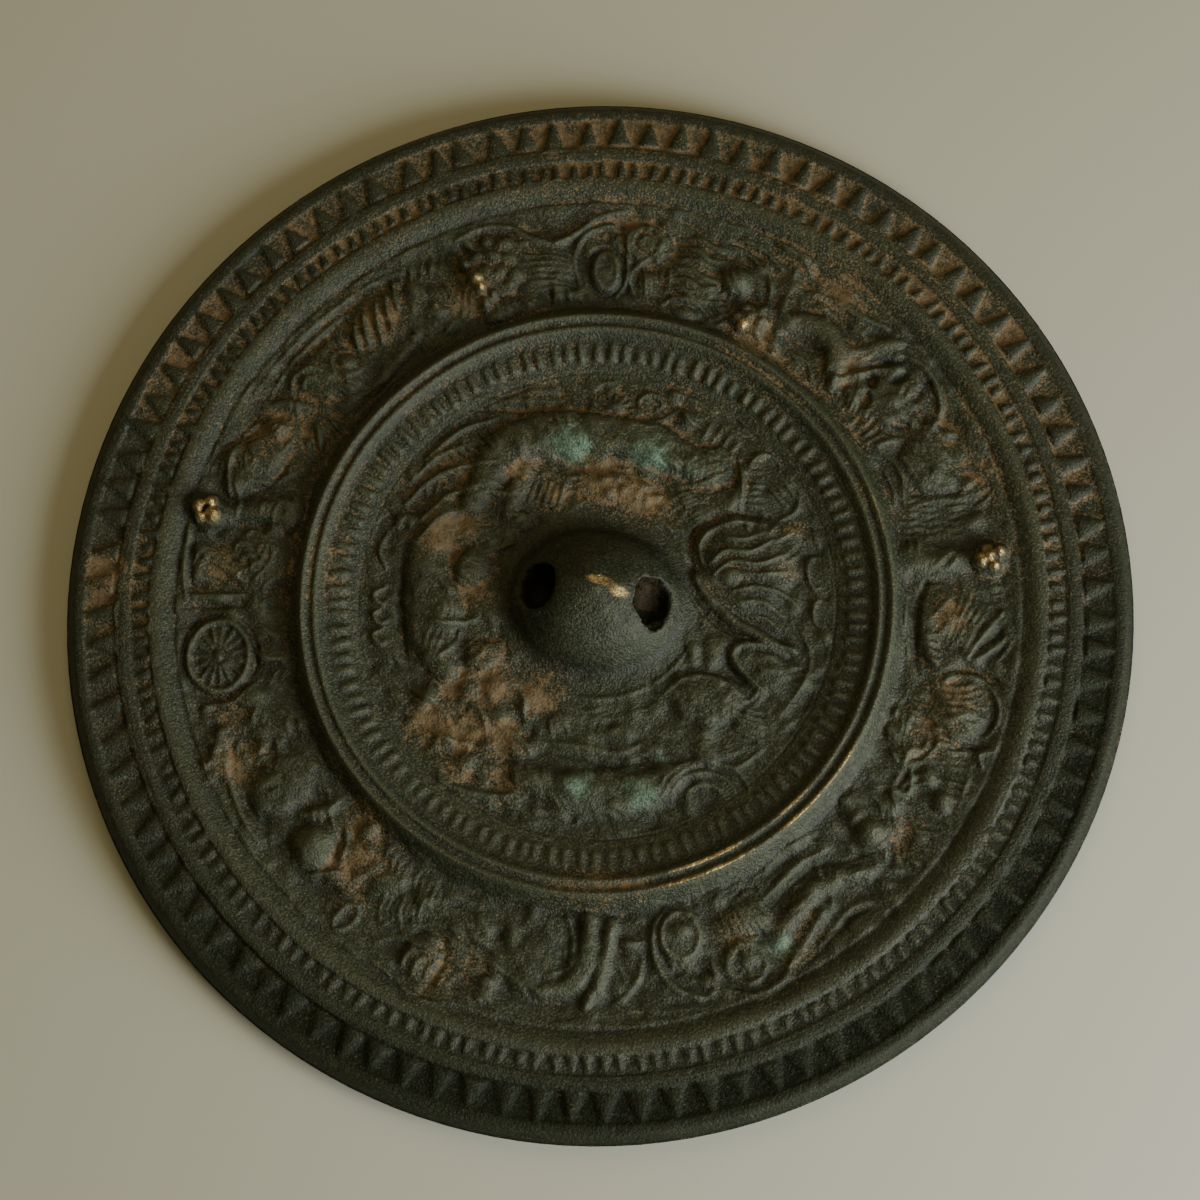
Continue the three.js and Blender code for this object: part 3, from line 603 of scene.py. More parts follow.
def beasts_lower_right():
    """A running beast with long ribs, the small dome and clawed feet at the lower right."""
    at = board(315)
    lump(body, at((-4.8, 66.6)), (3.0, 3.0), 2.8)
    stroke(line, at((-8.2, 67), (-6.6, 69.4), (-3.6, 69.4), (-1, 67.2), (0.4, 64)), 1.3, 1.0)
    stroke(body, at((9.6, 70.6), (13, 70.8), (18, 72), (23, 73.2), (28, 73.6)), 2.2, 1.1, (0.8, 0.9, 1, 0.5))
    stroke(cut, at((3.8, 77), (8, 75), (15, 75), (24, 74.8)), 1.2, 0.6)
    stroke(line, at((4, 75.2), (8, 73.6), (14, 73.8)), 1.3, 0.8)
    lump(line, at((12.4, 70.2)), (1.6, 1.0), 0.8)
    stroke(body, at((0.8, 71.4), (5, 68), (10, 66.8), (17, 67.2), (22, 68.6)), 4.4, 1.5, (0.6, 1, 0.6))
    stroke(cut, at((2.6, 66.6), (6, 63.9), (11.6, 63), (18.4, 63.2)), 1.2, 0.7)
    stroke(line, at((3.6, 62.8), (8, 61.3), (14, 61), (19, 61.4)), 1.7, 1.0)
    stroke(cut, at((4.4, 60.4), (9, 59.2), (15, 58.8)), 1.2, 0.6)
    stroke(line, at((2, 59.4), (8, 57.8), (15, 57.6)), 1.2, 0.7)
    stroke(body, at((-5.4, 77), (-3.6, 75.6), (-2.4, 73.8)), 2.4, 1.2)
    lump(body, at((0, 75.2)), (2.0, 1.6), 1.0)
    hatch(*at((-2, 73.6), (5.8, 71)), *at((-2.6, 70), (2.6, 67.6)), 5, 0.95, 0.6)
    lump(body, at((-5, 62.8)), (2.4, 1.6), 1.7, 45)
    lump(line, at((-4.6, 62.6)), (1.2, 0.8), 0.7, 45)
    lump(body, at((-6.2, 59.8)), (2.4, 1.5), 1.1)
    lump(body, at((-10.8, 65.2)), (2.8, 2.2), 1.3, 60)
    lump(body, at((-17.8, 72.2)), (2.3, 1.7), 1.9, 120)
    lump(body, at((-19.6, 67)), (2.2, 1.8), 1.5, 100)
    hatch(*at((-27.6, 68.6), (-24.6, 65.4)), *at((-20.2, 74.4), (-18.8, 70)), 7, 1.1, 0.8)
    hatch(*at((-16.2, 75), (-14.6, 71.6)), *at((-6.8, 77.2), (-5.8, 74)), 7, 1.0, 0.7)
    stroke(line, at((-22.4, 65.6), (-19.4, 63), (-16.8, 65.2), (-14.6, 66.2), (-13.2, 63),
                    (-11.8, 61.4)), 1.5, 1.1)
    stroke(line, at((-24, 63.2), (-20.6, 61), (-17, 62.6), (-15.2, 60.2)), 1.3, 0.9)
    for size in (2.4, 4.4):
        stroke(line, arc(at((-22.8, 60.6)), (size * 1.15, size * 0.8), 150, 330, 45), 1.2, 0.8)
    hatch(*at((-10.6, 72.6), (-12, 69)), *at((-8.6, 70.6), (-9.4, 67.4)), 3, 1.0, 0.7)
    stroke(line, at((21.6, 67), (24.4, 64.6), (28.6, 64), (31, 66), (31, 69)), 1.4, 1.0)
    lump(line, at((26.8, 67.4)), (2.0, 1.5), 0.8)
    stroke(line, at((24.4, 69.6), (27, 70.4), (29.4, 69)), 1.0, 0.7)
    stroke(line, at((27.6, 74), (31.6, 72), (34, 68)), 1.3, 0.9)
    hatch(*at((17.6, 61.4), (16.6, 57.6)), *at((24.4, 62), (23.6, 58)), 6, 0.95, 0.6)
    lump(body, at((-31.6, 63)), (4.4, 5.6), 1.4, 30)
    hatch(*at((-36, 65.4), (-30.6, 57.6)), *at((-30, 68.6), (-25.6, 60.4)), 7, 1.0, 0.75)


# ---- the dragon round the knob ---------------------------------------------

def dragon_coils():
    """The thick low coils of the body that winds round the knob."""
    stroke(body, [(-24, 19), (-20.6, 25.6), (-15.4, 31), (-8, 33), (0, 32.6), (7, 31.4), (13, 29.6),
                  (19, 26)],
           9.2, 2.3, (0.5, 0.9, 1, 1, 0.95, 0.6), 0.6)
    stroke(body, [(-17, 17.4), (-15.4, 22), (-13.6, 26.4)], 4.4, 1.3, (0.6, 1, 0.8))
    lump(body, (-4.4, 31.4), (5.4, 3.4), 2.8, 6)
    lump(body, (9.8, 29.6), (5.6, 3.4), 2.9, -16)
    stroke(cut, [(-24, 38), (-15.6, 37.8), (-7, 37.8), (0.6, 37)], 1.3, 0.6)
    stroke(line, [(-25, 40), (-15, 39.6), (-7, 39.8)], 1.0, 0.4)
    stroke(body, [(-14, -33), (-6, -35.6), (2, -36.2), (9, -35.6), (14, -33.4)],
           8.6, 2.1, (0.5, 1, 1, 0.7), 0.6)
    lump(body, (-4.6, -35), (5.0, 3.0), 2.5, -8)
    lump(body, (9.0, -35.4), (4.6, 3.4), 2.6, 15)
    stroke(cut, [(-10.6, -28.6), (-4.6, -29.4), (3, -31), (7.6, -30.6), (10.6, -28.6)], 1.4, 0.7)
    stroke(line, [(-10, -26.8), (-3.4, -27.4), (4, -28.8), (9.4, -26.4)], 1.4, 0.7)
    stroke(body, [(-28.6, 17.4), (-31.6, 10), (-32, 2), (-31, -6), (-28, -13)],
           9.4, 1.9, (0.5, 0.9, 1, 0.9, 0.6), 0.6)
    lump(body, (-30, -2), (4.8, 6.6), 2.4, 0)
    lump(body, (-23.4, 7), (4.6, 3.6), 1.5, 60)
    stroke(line, [(-31, -3.8), (-27.6, -4.4), (-22.6, -3.4)], 1.7, 1.0)
    stroke(line, [(-25.6, -5.4), (-26.4, -8), (-29.4, -10.6)], 1.4, 0.9)
    stroke(cut, [(-36.6, 8), (-37, 1), (-36.6, -6), (-35, -13)], 1.8, 0.6)
    lump(body, (-21, -10.6), (4.2, 3.2), 1.3, 30)


def dragon_head():
    """The big head on the right, with its round cheek, whiskers and curling horn."""
    lump(body, (28.4, 6.4), (9.4, 9.6), 1.9)
    stroke(cut, [(18, 5.6), (17.6, 11.4), (20.4, 15.4), (25.8, 17), (32.4, 16.2)], 1.5, 0.8, (0.7, 1, 0.7))
    stroke(line, [(19.8, 7), (19.4, 11), (21.8, 13.8), (26, 15.2), (32, 14.6)], 1.4, 1.0)
    lump(line, (25.2, 4.4), (2.2, 1.6), 1.0, 20)
    stroke(line, [(21.4, 7), (24, 9.4), (28.8, 9.2), (33, 11.4)], 1.2, 0.9)
    stroke(line, [(22, 5), (25.4, 7.2), (30.4, 6.8), (35, 8.6)], 1.2, 0.9)
    stroke(line, [(24, 12), (28, 11.8), (31.4, 13)], 1.0, 0.7)
    stroke(line, [(27.4, 5), (31.6, 4.8), (35.8, 5.4)], 1.1, 0.8)
    stroke(line, [(25.6, 1.8), (30, 2.4), (34.6, 1.2), (38, -1.6)], 1.3, 0.9)
    stroke(line, [(26.4, -0.6), (31, -0.4), (35.2, -3.4)], 1.2, 0.8)
    stroke(line, [(28, -3), (31.6, -3.4), (34, -5.6)], 1.1, 0.7)
    for turn in (35, 55, 75, 95):
        ray = arc((29, 8), (5.6, 5.6), turn, turn, 0, 1) + arc((29, 8), (9.8, 9), turn, turn + 14, 0, 1)
        stroke(line, ray, 1.0, 0.6)
    stroke(line, arc((41.2, 5.4), (1.6, 3.2), 60, 300), 1.1, 0.9)
    stroke(line, arc((41.8, -2.4), (1.3, 2.6), 60, 300), 1.0, 0.7)
    stroke(line, [(18.6, 4.4), (20.4, 1.2), (24, -2.6), (28.6, -5.6), (33, -8.2), (36.8, -9.6)],
           2.3, 1.5, (0.6, 1, 1, 0.6))
    stroke(cut, [(17, 3), (18.8, -0.6), (22.4, -4.4), (27, -7)], 1.3, 0.7)
    stroke(line, [(31.4, -17.6), (27.6, -14), (25.4, -10.6), (27, -8.4), (31, -8.6), (35.4, -10.4)],
           1.9, 1.3)
    stroke(cut, [(29.4, -17.6), (25.2, -13.6), (23.4, -10)], 1.3, 0.6)
    lump(body, (31.6, -13.4), (4.8, 3.6), 1.1, -20)
    stroke(line, [(38.4, -6), (40, -11), (38.4, -16), (35, -20.6)], 1.3, 0.7)
    hatch((13.4, 19.6), (19.6, 21.6), (18.6, 13.6), (23.6, 16.4), 9, 0.9, 0.6, 0.05)
    stroke(body, [(23.4, 15.6), (26.2, 20), (28.2, 26)], 2.6, 1.2)
    hatch((27.6, 28), (31.4, 27.6), (28, 18.6), (31.6, 18.4), 8, 0.9, 0.65)
    stroke(line, [(27, 17.4), (27.6, 22.4), (26.8, 28)], 1.2, 0.9)
    stroke(line, arc((31.8, 25.8), (2.8, 2.6), -40, 260, 0, 9), 1.1, 0.8)
    lump(body, (21.4, 26), (4.8, 4), 1.1)
    scales((21.2, 26.2), (4.8, 4), 1.5, 0.5, 25)
    stroke(line, [(15.4, 22.4), (20, 22.8), (24.4, 25)], 1.2, 0.8)
    hatch((32.6, 22), (36, 18.2), (35.6, 25), (38.6, 20.8), 4, 1.0, 0.7)
    stroke(line, [(34, 15.4), (37.6, 17.4), (38.4, 21.4)], 1.2, 0.7)


def dragon_feet():
    """A scaly haunch, hair and round claws at the lower right."""
    lump(body, (20.4, -18.8), (7, 5), 1.5, -10)
    scales((20.6, -18.8), (6.2, 4.2), 1.35, 0.5, -10)
    stroke(line, [(12.4, -18), (14.6, -15.8), (18, -14.4), (23, -15), (27, -18)], 1.5, 1.0)
    stroke(cut, [(12, -15.8), (15, -13.4), (19, -12.6)], 1.1, 0.5)
    hatch((14.6, -24.6), (22.4, -21.8), (17.6, -30.4), (28.4, -27.6), 9, 0.95, 0.65, -0.06)
    hatch((25.6, -19.6), (32, -21.4), (24.2, -23.2), (31, -26.6), 5, 0.95, 0.65, -0.06)
    for size in (2.8, 5.0, 7.2):
        stroke(line, arc((20, -37.4), (size * 1.2, size), 15, 170), 1.3, 0.9)
    stroke(line, [(11.6, -38), (14.6, -33.4), (19.6, -30.6), (26, -31.4), (31, -28)], 1.4, 0.9)
    stroke(line, arc((0, 0), (19.6, 18.6), 235, 330, 0, 11), 1.3, 0.6)
    stroke(line, arc((0, 0), (23, 22.4), 240, 300, 0, 9), 1.1, 0.45)
    for at, lean in (((-18.6, -16), 20), ((-23.6, -16.2), 70), ((-28.4, -26.4), 40), ((-18.4, -21.8), 10),
                     ((-12.6, -19.6), 80), ((-14.6, -28), 120), ((-24, -30.4), 30), ((-31.4, -17.8), 60)):
        lump(body, at, (2.8, 1.9), rng.uniform(0.7, 1.4), lean)
    for points in ([(-34, -17), (-29.6, -19.4), (-27, -23.4)],
                   [(-25.4, -18.6), (-21.6, -20.4), (-20.4, -24.6)],
                   [(-32.4, -23.6), (-27.4, -26.2), (-20, -27.6)],
                   [(-18.4, -23.6), (-14.4, -25.4), (-12, -29)],
                   [(-26.6, -30.6), (-20.4, -31.4), (-14.4, -31)],
                   [(-16.4, -15), (-13.6, -18), (-13.4, -22)],
                   [(-29, -34), (-22, -36.4), (-14.4, -36.6)]):
        stroke(line, points, rng.uniform(1.3, 1.9), rng.uniform(0.8, 1.1))


def dragon_left():
    """Claws, loops and curls at the left and top."""
    for out in (1.6, -2.2, -6.2):
        stroke(line, [(-39.6, out + 1.6), (-42, out), (-40.6, out - 1.8), (-39.2, out - 1)], 1.3, 0.9)
    stroke(line, [(-39.4, 14), (-41, 10), (-39.6, 6.6)], 1.3, 0.8)
    stroke(body, [(-37.6, 16.4), (-33, 15.4), (-29.4, 12.6)], 4.2, 1.1)
    stroke(line, [(-36.4, 19), (-31.4, 24), (-24.6, 26.6), (-19, 27)], 1.6, 1.0)
    stroke(line, [(-32.6, 28), (-26, 33.6), (-19, 36)], 1.4, 0.8)
    stroke(line, [(-35.4, 23.4), (-30.4, 28.4), (-24, 31)], 1.4, 0.8)
    stroke(line, [(-33, 16), (-28.4, 20.6), (-22.4, 22.4)], 1.6, 0.9)
    stroke(line, [(-34, 11.6), (-29.4, 16.4), (-23.6, 18)], 1.3, 0.7)
    hatch((-29.6, 30), (-25, 26.6), (-21, 34.6), (-18.4, 30.6), 6, 1.0, 0.7)
    hatch((-15, 19.4), (-12.4, 24), (-7.4, 18.4), (-6, 23.4), 6, 1.0, 0.6)
    hatch((-24, 16.4), (-19.8, 17.6), (-21.4, 9.6), (-17.8, 11), 6, 1.0, 0.6)
    for angle in np.linspace(15, 165, 8):
        inner = arc((2.8, 36.8), (0.8, 0.6), angle, angle, 0, 1)
        outer = arc((2.8, 36.8), (4.4, 3.8), angle, angle, 0, 1)
        stroke(line, inner + outer, 0.95, 0.75, (0.6, 1, 0.9))
    stroke(line, [(8.4, 36.4), (7.8, 39.2), (10.4, 40.6), (12.6, 38.6), (11, 37.4)], 1.1, 0.8)
    stroke(line, [(12.6, 35.6), (16, 37.4), (17.6, 35), (21, 33.4)], 1.2, 0.8)
    stroke(line, [(14, 41), (19, 39), (23.4, 35.6)], 1.1, 0.6)
    hatch((22, 35.4), (20, 31.4), (27.4, 31.4), (24.6, 28.4), 4, 0.9, 0.6)
    stroke(line, [(-6, 41.6), (-14, 41), (-21, 38)], 0.9, 0.5)
    lump(body, (3.4, 22), (8, 3.2), 1.2, -12)
    for place in range(9):
        lump(line, (rng.uniform(-4, 11), rng.uniform(19, 24)), (1.4, 0.9), 0.5, rng.uniform(0, 180))


# ---- the worn ground between the figures --------------------------------------

def bare(x, y, reach):
    """Says whether no raised line lies within reach of this point yet."""
    patch = window(x, y, reach)
    return line[patch].max() < 0.25


def ground(first, last, tufts, lumps):
    """Low tufts of hair and worn lumps, which leave no part of the ground plain."""
    for number in range(tufts + lumps):
        angle, radius = rng.uniform(0, math.tau), math.sqrt(rng.uniform(first ** 2, last ** 2))
        x, y = radius * math.cos(angle), radius * math.sin(angle)
        lean = 70 * math.sin(x / 8 + 1) + 90 * math.cos(y / 10 + x / 15) + rng.normal(0, 12)
        if number >= tufts:
            size = rng.uniform(1.2, 2.8)
            lump(body, (x, y), (size, size * rng.uniform(0.5, 0.9)), rng.uniform(0.35, 0.95), lean)
        elif bare(x, y, 0.9):
            run = np.array((math.cos(math.radians(lean)), math.sin(math.radians(lean))))
            side = np.array((-run[1], run[0]))
            length, count = rng.uniform(1.4, 2.8), rng.integers(2, 5)
            for place in np.arange(count) - (count - 1) / 2:
                middle = np.array((x, y)) + side * place * 1.25
                ends = [middle - run * length, middle + side * rng.uniform(-0.6, 0.6), middle + run * length]
                if first < min(np.hypot(*p) for p in ends) and max(np.hypot(*p) for p in ends) < last:
                    stroke(line, ends, rng.uniform(0.8, 1.15), rng.uniform(0.35, 0.65))


# ---- putting the surface together ------------------------------------------

def zone(first, last, edge=0.6):
    """1 on the rings between two radii and 0 on the others, with soft edges."""
    return (ramp(RINGS, first - edge, first + edge) * (1 - ramp(RINGS, last - edge, last + edge)))[:, None]


def knob_dome():
    """A rounded dome, longer along the cord hole than across it, with a worn crest."""
    x, y = RINGS[:, None] * np.cos(SPOKES), RINGS[:, None] * np.sin(SPOKES)
    share = (x / KNOB_RADIUS) ** 2 + (y / (KNOB_RADIUS * KNOB_NARROWING)) ** 2
    rise = KNOB_TOP - FIELD_FLOOR
    dome = rise * np.maximum(1 - share, 0) ** KNOB_FULLNESS
    crest = 0.35 * np.exp(-((y - 0.4) / 1.5) ** 2 - (x / 8) ** 4)
    foot = 2.0 * np.exp(-np.maximum(np.sqrt(share) - 0.95, 0) / 0.11)
    return FIELD_FLOOR + np.maximum(dome * 0.97 + crest * (share < 1), foot)


def carved_surface():
    """Height of the back, in millimetres, on every ring and spoke."""
    rows_of_teeth()
    for figures in (beasts_right, beasts_upper_right, beasts_top, beasts_upper_left, chariot_left,
                    horse_lower_left, horse_bottom, beasts_lower_right,
                    dragon_coils, dragon_head, dragon_feet, dragon_left):
        figures()
    ground(58.4, 77.6, tufts=420, lumps=240)
    ground(18.6, 43.6, tufts=240, lumps=110)
    wander = 0.16 * grain(9.0)
    base = np.interp(RINGS[:, None] + wander, PROFILE_RADIUS, PROFILE_HEIGHT)
    edge = RINGS > 97
    base[edge] = np.interp(RINGS[edge], PROFILE_RADIUS, PROFILE_HEIGHT)[:, None]
    near = RINGS < 24
    base[near] = np.maximum(base, knob_dome())[near]
    base[RINGS < 30] = soften(base, 0.75)[RINGS < 30]
    level = np.where(RINGS < 50, FIELD_FLOOR, BAND_FLOOR)[:, None]
    worn = 1 - 0.35 * ramp(np.cos(np.radians(ANGLE - 262)), 0.1, 0.9)[None, :]
    rounded = soften(body, 0.5) * (1 - 0.5 * (1 - worn))
    surface = np.maximum(base, level + rounded * (rounded > 0.02))
    surface = surface + worn * (0.98 * soften(line, 0.23) - 1.05 * soften(cut, 0.25))
    busy = zone(*BAND) + zone(FIELD[0] + 1, FIELD[1])
    pitted = np.clip(grain(0.6) - 0.3, 0, 1)
    rough = (0.17 * grain(1.6) + 0.16 * grain(0.75) - 0.2 * pitted) * (0.35 + busy)
    fade = 1 - ramp(RINGS, 98, 99.4)[:, None]
    knob = (1 - ramp(RINGS, KNOB_RADIUS - 2, KNOB_RADIUS))[:, None]
    surface = surface + rough * fade + (0.2 * grain(3.0) + 0.1 * grain(1.4)) * knob
    surface = surface + 0.14 * grain(8.0) * fade * (1 - knob)
    return np.minimum(surface, KNOB_TOP - CLEARANCE)


surface = carved_surface()


# ---- mesh ------------------------------------------------------------------

def face_height(radius):
    """Height of the plain face above the table: flat in the middle, then gently convex."""
    rise = np.maximum(radius ** 2 - FACE_FLAT_RADIUS ** 2, 0)
    return FACE_LIFT * rise / (FACE_RADIUS ** 2 - FACE_FLAT_RADIUS ** 2)


def ring_points(radius, height):
    flat = np.stack([radius * np.cos(SPOKES), radius * np.sin(SPOKES), height], axis=-1)
    return flat.reshape(-1, 3)


def mesh_from(name, points, quads, triangles):
    """Builds a mesh straight from arrays. Points are in millimetres."""
    mesh = bpy.data.meshes.new(name)
    corners = np.concatenate([quads.ravel(), triangles.ravel()]).astype(np.int32)
    sizes = np.concatenate([np.full(len(quads), 4), np.full(len(triangles), 3)])
    starts = np.concatenate([[0], np.cumsum(sizes)[:-1]]).astype(np.int32)
    mesh.vertices.add(len(points))
    mesh.vertices.foreach_set("co", (points * METRE).astype(np.float32).ravel())
    mesh.loops.add(len(corners))
    mesh.loops.foreach_set("vertex_index", corners)
    mesh.polygons.add(len(sizes))
    mesh.polygons.foreach_set("loop_start", starts)
    mesh.update(calc_edges=True)
    mesh.validate()
    thing = bpy.data.objects.new(name, mesh)
    bpy.context.scene.collection.objects.link(thing)
    return thing


def closed_mesh(name, first, rings, last):
    """A closed mesh from a stack of equal rings, with one point before them and one after."""
    count = len(rings[0])
    here = np.arange(count)
    after = (here + 1) % count
    quads = []
    for inner in range(1, 1 + (len(rings) - 1) * count, count):
        outer = inner + count
        quads.append(np.stack([inner + here, outer + here, outer + after, inner + after], axis=1))
    end = 1 + (len(rings) - 1) * count
    fans = [np.stack([0 * here, 1 + here, 1 + after], axis=1),
            np.stack([end + here, 0 * here + end + count, end + after], axis=1)]
    return mesh_from(name, np.vstack([[first], *rings, [last]]), np.vstack(quads), np.vstack(fans))


def egg(name, middle, half, ragged):
    """An egg-shaped cutter, its skin ragged by this share of its size."""
    around = np.linspace(0, math.tau, CUTTER_SPOKES, endpoint=False)
    rings = []
    for dip in np.linspace(0, math.pi, 26)[1:-1]:
        waves = np.sin(5 * around + 2 * dip) + 0.6 * np.sin(9 * around - 4 * dip)
        swell = 1 + ragged * waves * math.sin(dip)
        flat = [swell * math.sin(dip) * np.cos(around), swell * math.sin(dip) * np.sin(around),
                np.full(CUTTER_SPOKES, math.cos(dip))]
        rings.append(np.array(middle) + np.stack(flat, axis=-1) * np.array(half))
    top, bottom = np.array((0, 0, half[2])) + middle, np.array((0, 0, -half[2])) + middle
    return closed_mesh(name, top, rings, bottom)


def tunnel():
    """The oval tunnel the cord runs through, its walls a little uneven."""
    around = np.linspace(0, math.tau, CUTTER_SPOKES, endpoint=False)
    reach = KNOB_RADIUS + 2
    rings = []
    for x in np.linspace(reach, -reach, 80):
        uneven = 1 + 0.04 * np.sin(3 * around + 0.7 * x) + 0.02 * np.sin(7 * around + 1.3 * x)
        rings.append(np.stack([np.full(CUTTER_SPOKES, x), HOLE_HALF_WIDTH * uneven * np.cos(around),
                               HOLE_Z + HOLE_HALF_HEIGHT * uneven * np.sin(around)], axis=-1))
    return closed_mesh("tunnel", (reach, 0, HOLE_Z), rings, (-reach, 0, HOLE_Z))


def cord_hole_cutters():
    """The tunnel, a pit in each mouth and the broken lip of the +X mouth."""
    x, y, z = PIT_PLACE
    return [tunnel(),
            egg("neat_pit", (-x, y, z), PIT_HALF_SIZE, 0.01),
            egg("torn_pit", (x, y, z), PIT_HALF_SIZE, 0.05),
            egg("broken_lip", CHIP_PLACE, [CHIP_RADIUS] * 3, 0.09)]


def applied(thing, kind, **settings):
    """Adds one modifier and keeps its result as the mesh."""
    modifier = thing.modifiers.new(kind.lower(), kind)
    for key, value in settings.items():
        setattr(modifier, key, value)
    shown = thing.evaluated_get(bpy.context.evaluated_depsgraph_get())
    mesh = bpy.data.meshes.new_from_object(shown)
    thing.modifiers.clear()
    thing.data = mesh


def casting():
    """The back's rings out to the belly of the rim, the face's rings back in, then the cord hole."""
    rings = [ring_points(radius, row) for radius, row in zip(RINGS, surface)]
    under = [(99.8, 2.0)]
    under += [(r, face_height(r)) for r in (FACE_RADIUS, *np.linspace(96, FACE_FLAT_RADIUS, 12), 20.0, 5.0)]
    rings += [ring_points(radius, np.full(SPOKE_COUNT, height)) for radius, height in under]
    mirror = closed_mesh("mirror_casting", (0, 0, surface[0].mean()), rings, (0, 0, 0))
    for cutter in cord_hole_cutters():
        applied(mirror, "BOOLEAN", operation="DIFFERENCE", object=cutter, solver="MANIFOLD")
        bpy.data.objects.remove(cutter)
    triangles = sum(len(p.vertices) - 2 for p in mirror.data.polygons)
    applied(mirror, "DECIMATE", ratio=FACE_LIMIT / triangles, use_collapse_triangulate=True)
    mirror.data.shade_smooth()
    return mirror


# ---- patina, painted shade and painted glints ------------------------------

def sample(layer, radius, angle):
    """Reads a layer at any radius and angle of the casting."""
    row = np.clip(np.interp(radius, RINGS, np.arange(len(RINGS))), 0, len(RINGS) - 1.001)
    column = (angle % math.tau) / math.tau * SPOKE_COUNT
    r, c = row.astype(int), column.astype(int)
    fr, fc = row - r, column - c
    c, after = c % SPOKE_COUNT, (c + 1) % SPOKE_COUNT
    near = layer[r, c] * (1 - fc) + layer[r, after] * fc
    far = layer[r + 1, c] * (1 - fc) + layer[r + 1, after] * fc
    return near * (1 - fr) + far * fr


def spots(places):
    """Soft spots from (angle, radius, reach, strength) on the pattern."""
    layer = np.zeros(SHAPE)
    for angle, radius, reach, strength in places:
        x, y = radius * math.cos(math.radians(angle)), radius * math.sin(math.radians(angle))
        patch = window(x, y, 2.6 * reach)
        away = (MAP_X[patch] - x) ** 2 + (MAP_Y[patch] - y) ** 2
        raise_to(layer, patch, strength * np.exp(-away / (2 * reach ** 2)))
    return layer


TAN_SPOTS = [
    (-3, 66, 2.6, 0.9), (18, 76, 3, 0.5), (-17, 68, 4, 0.5), (33, 60, 3, 0.5), (60, 60, 3.4, 0.9),
    (52, 76, 4, 0.7), (44, 68, 3, 0.6), (113, 65, 3, 0.8), (127, 70, 4, 0.6), (152, 72, 4, 0.5),
    (174.5, 71, 2.6, 1.0), (178, 73, 2, 0.6), (205, 73, 3.4, 0.9), (197, 71, 3, 0.6),
    (228, 65, 3.8, 1.0), (224, 60, 3, 0.8), (231, 70, 3, 0.6), (247, 74, 4, 0.7), (252, 71, 3, 0.5),
    (271, 53.9, 2.4, 1.0), (265, 53.9, 2.4, 0.8), (277, 53.9, 2.4, 0.8), (300, 74, 4, 0.5),
    (292, 67, 3, 0.6), (322, 72, 3, 0.5), (338, 66, 4, 0.6), (345, 69, 4, 0.6),
    (88, 23, 3.4, 0.9), (74, 22, 3.2, 1.0), (62, 21.4, 2.6, 0.8), (112, 22.6, 2.4, 0.6), (120, 29.6, 2, 0.6),
    (156, 32, 3.0, 1.0), (150, 28.6, 2.2, 0.8), (213, 30, 3.4, 0.8), (222, 25, 3.8, 0.9),
    (238, 20.6, 3.2, 0.9),
    (218, 38.6, 3.4, 0.9), (226, 35, 3.4, 0.9), (235, 31, 3.6, 0.8), (243, 38, 3.0, 0.7), (207, 22, 3, 0.6),
    (231, 40.6, 2.4, 0.7), (176, 23, 2.6, 0.5), (20, 39.6, 2, 0.6), (9, 36.6, 2, 0.4), (135, 37.6, 3, 0.5),
    (177, 93.5, 2.8, 1.2),
]
GREEN_SPOTS = [
    (98, 30.6, 3.2, 0.9), (71, 30.4, 3.8, 1.0), (55, 30, 2.4, 0.6), (265, 35.2, 3.0, 0.8),
    (282, 37.6, 3.0, 1.0),
    (292, 32.4, 2.2, 0.6), (20, 69, 4, 0.5), (222, 69, 3, 0.3), (298, 73, 3.6, 0.6), (267, 66, 4, 0.4),
    (150, 24, 2.4, 0.5), (115, 63, 3, 0.6), (331, 31, 3.6, 0.4),
]
WEAR_SPOTS = [
    (166.6, 75.6, 2.1, 1.25), (5.9, 73.8, 2.1, 1.3), (62, 60.4, 2.0, 0.9), (109.4, 66, 1.9, 0.9),
    (118, 66.4, 1.3, 0.6), (222, 64.4, 1.2, 0.6), (273, 62.4, 1.2, 0.5),
]


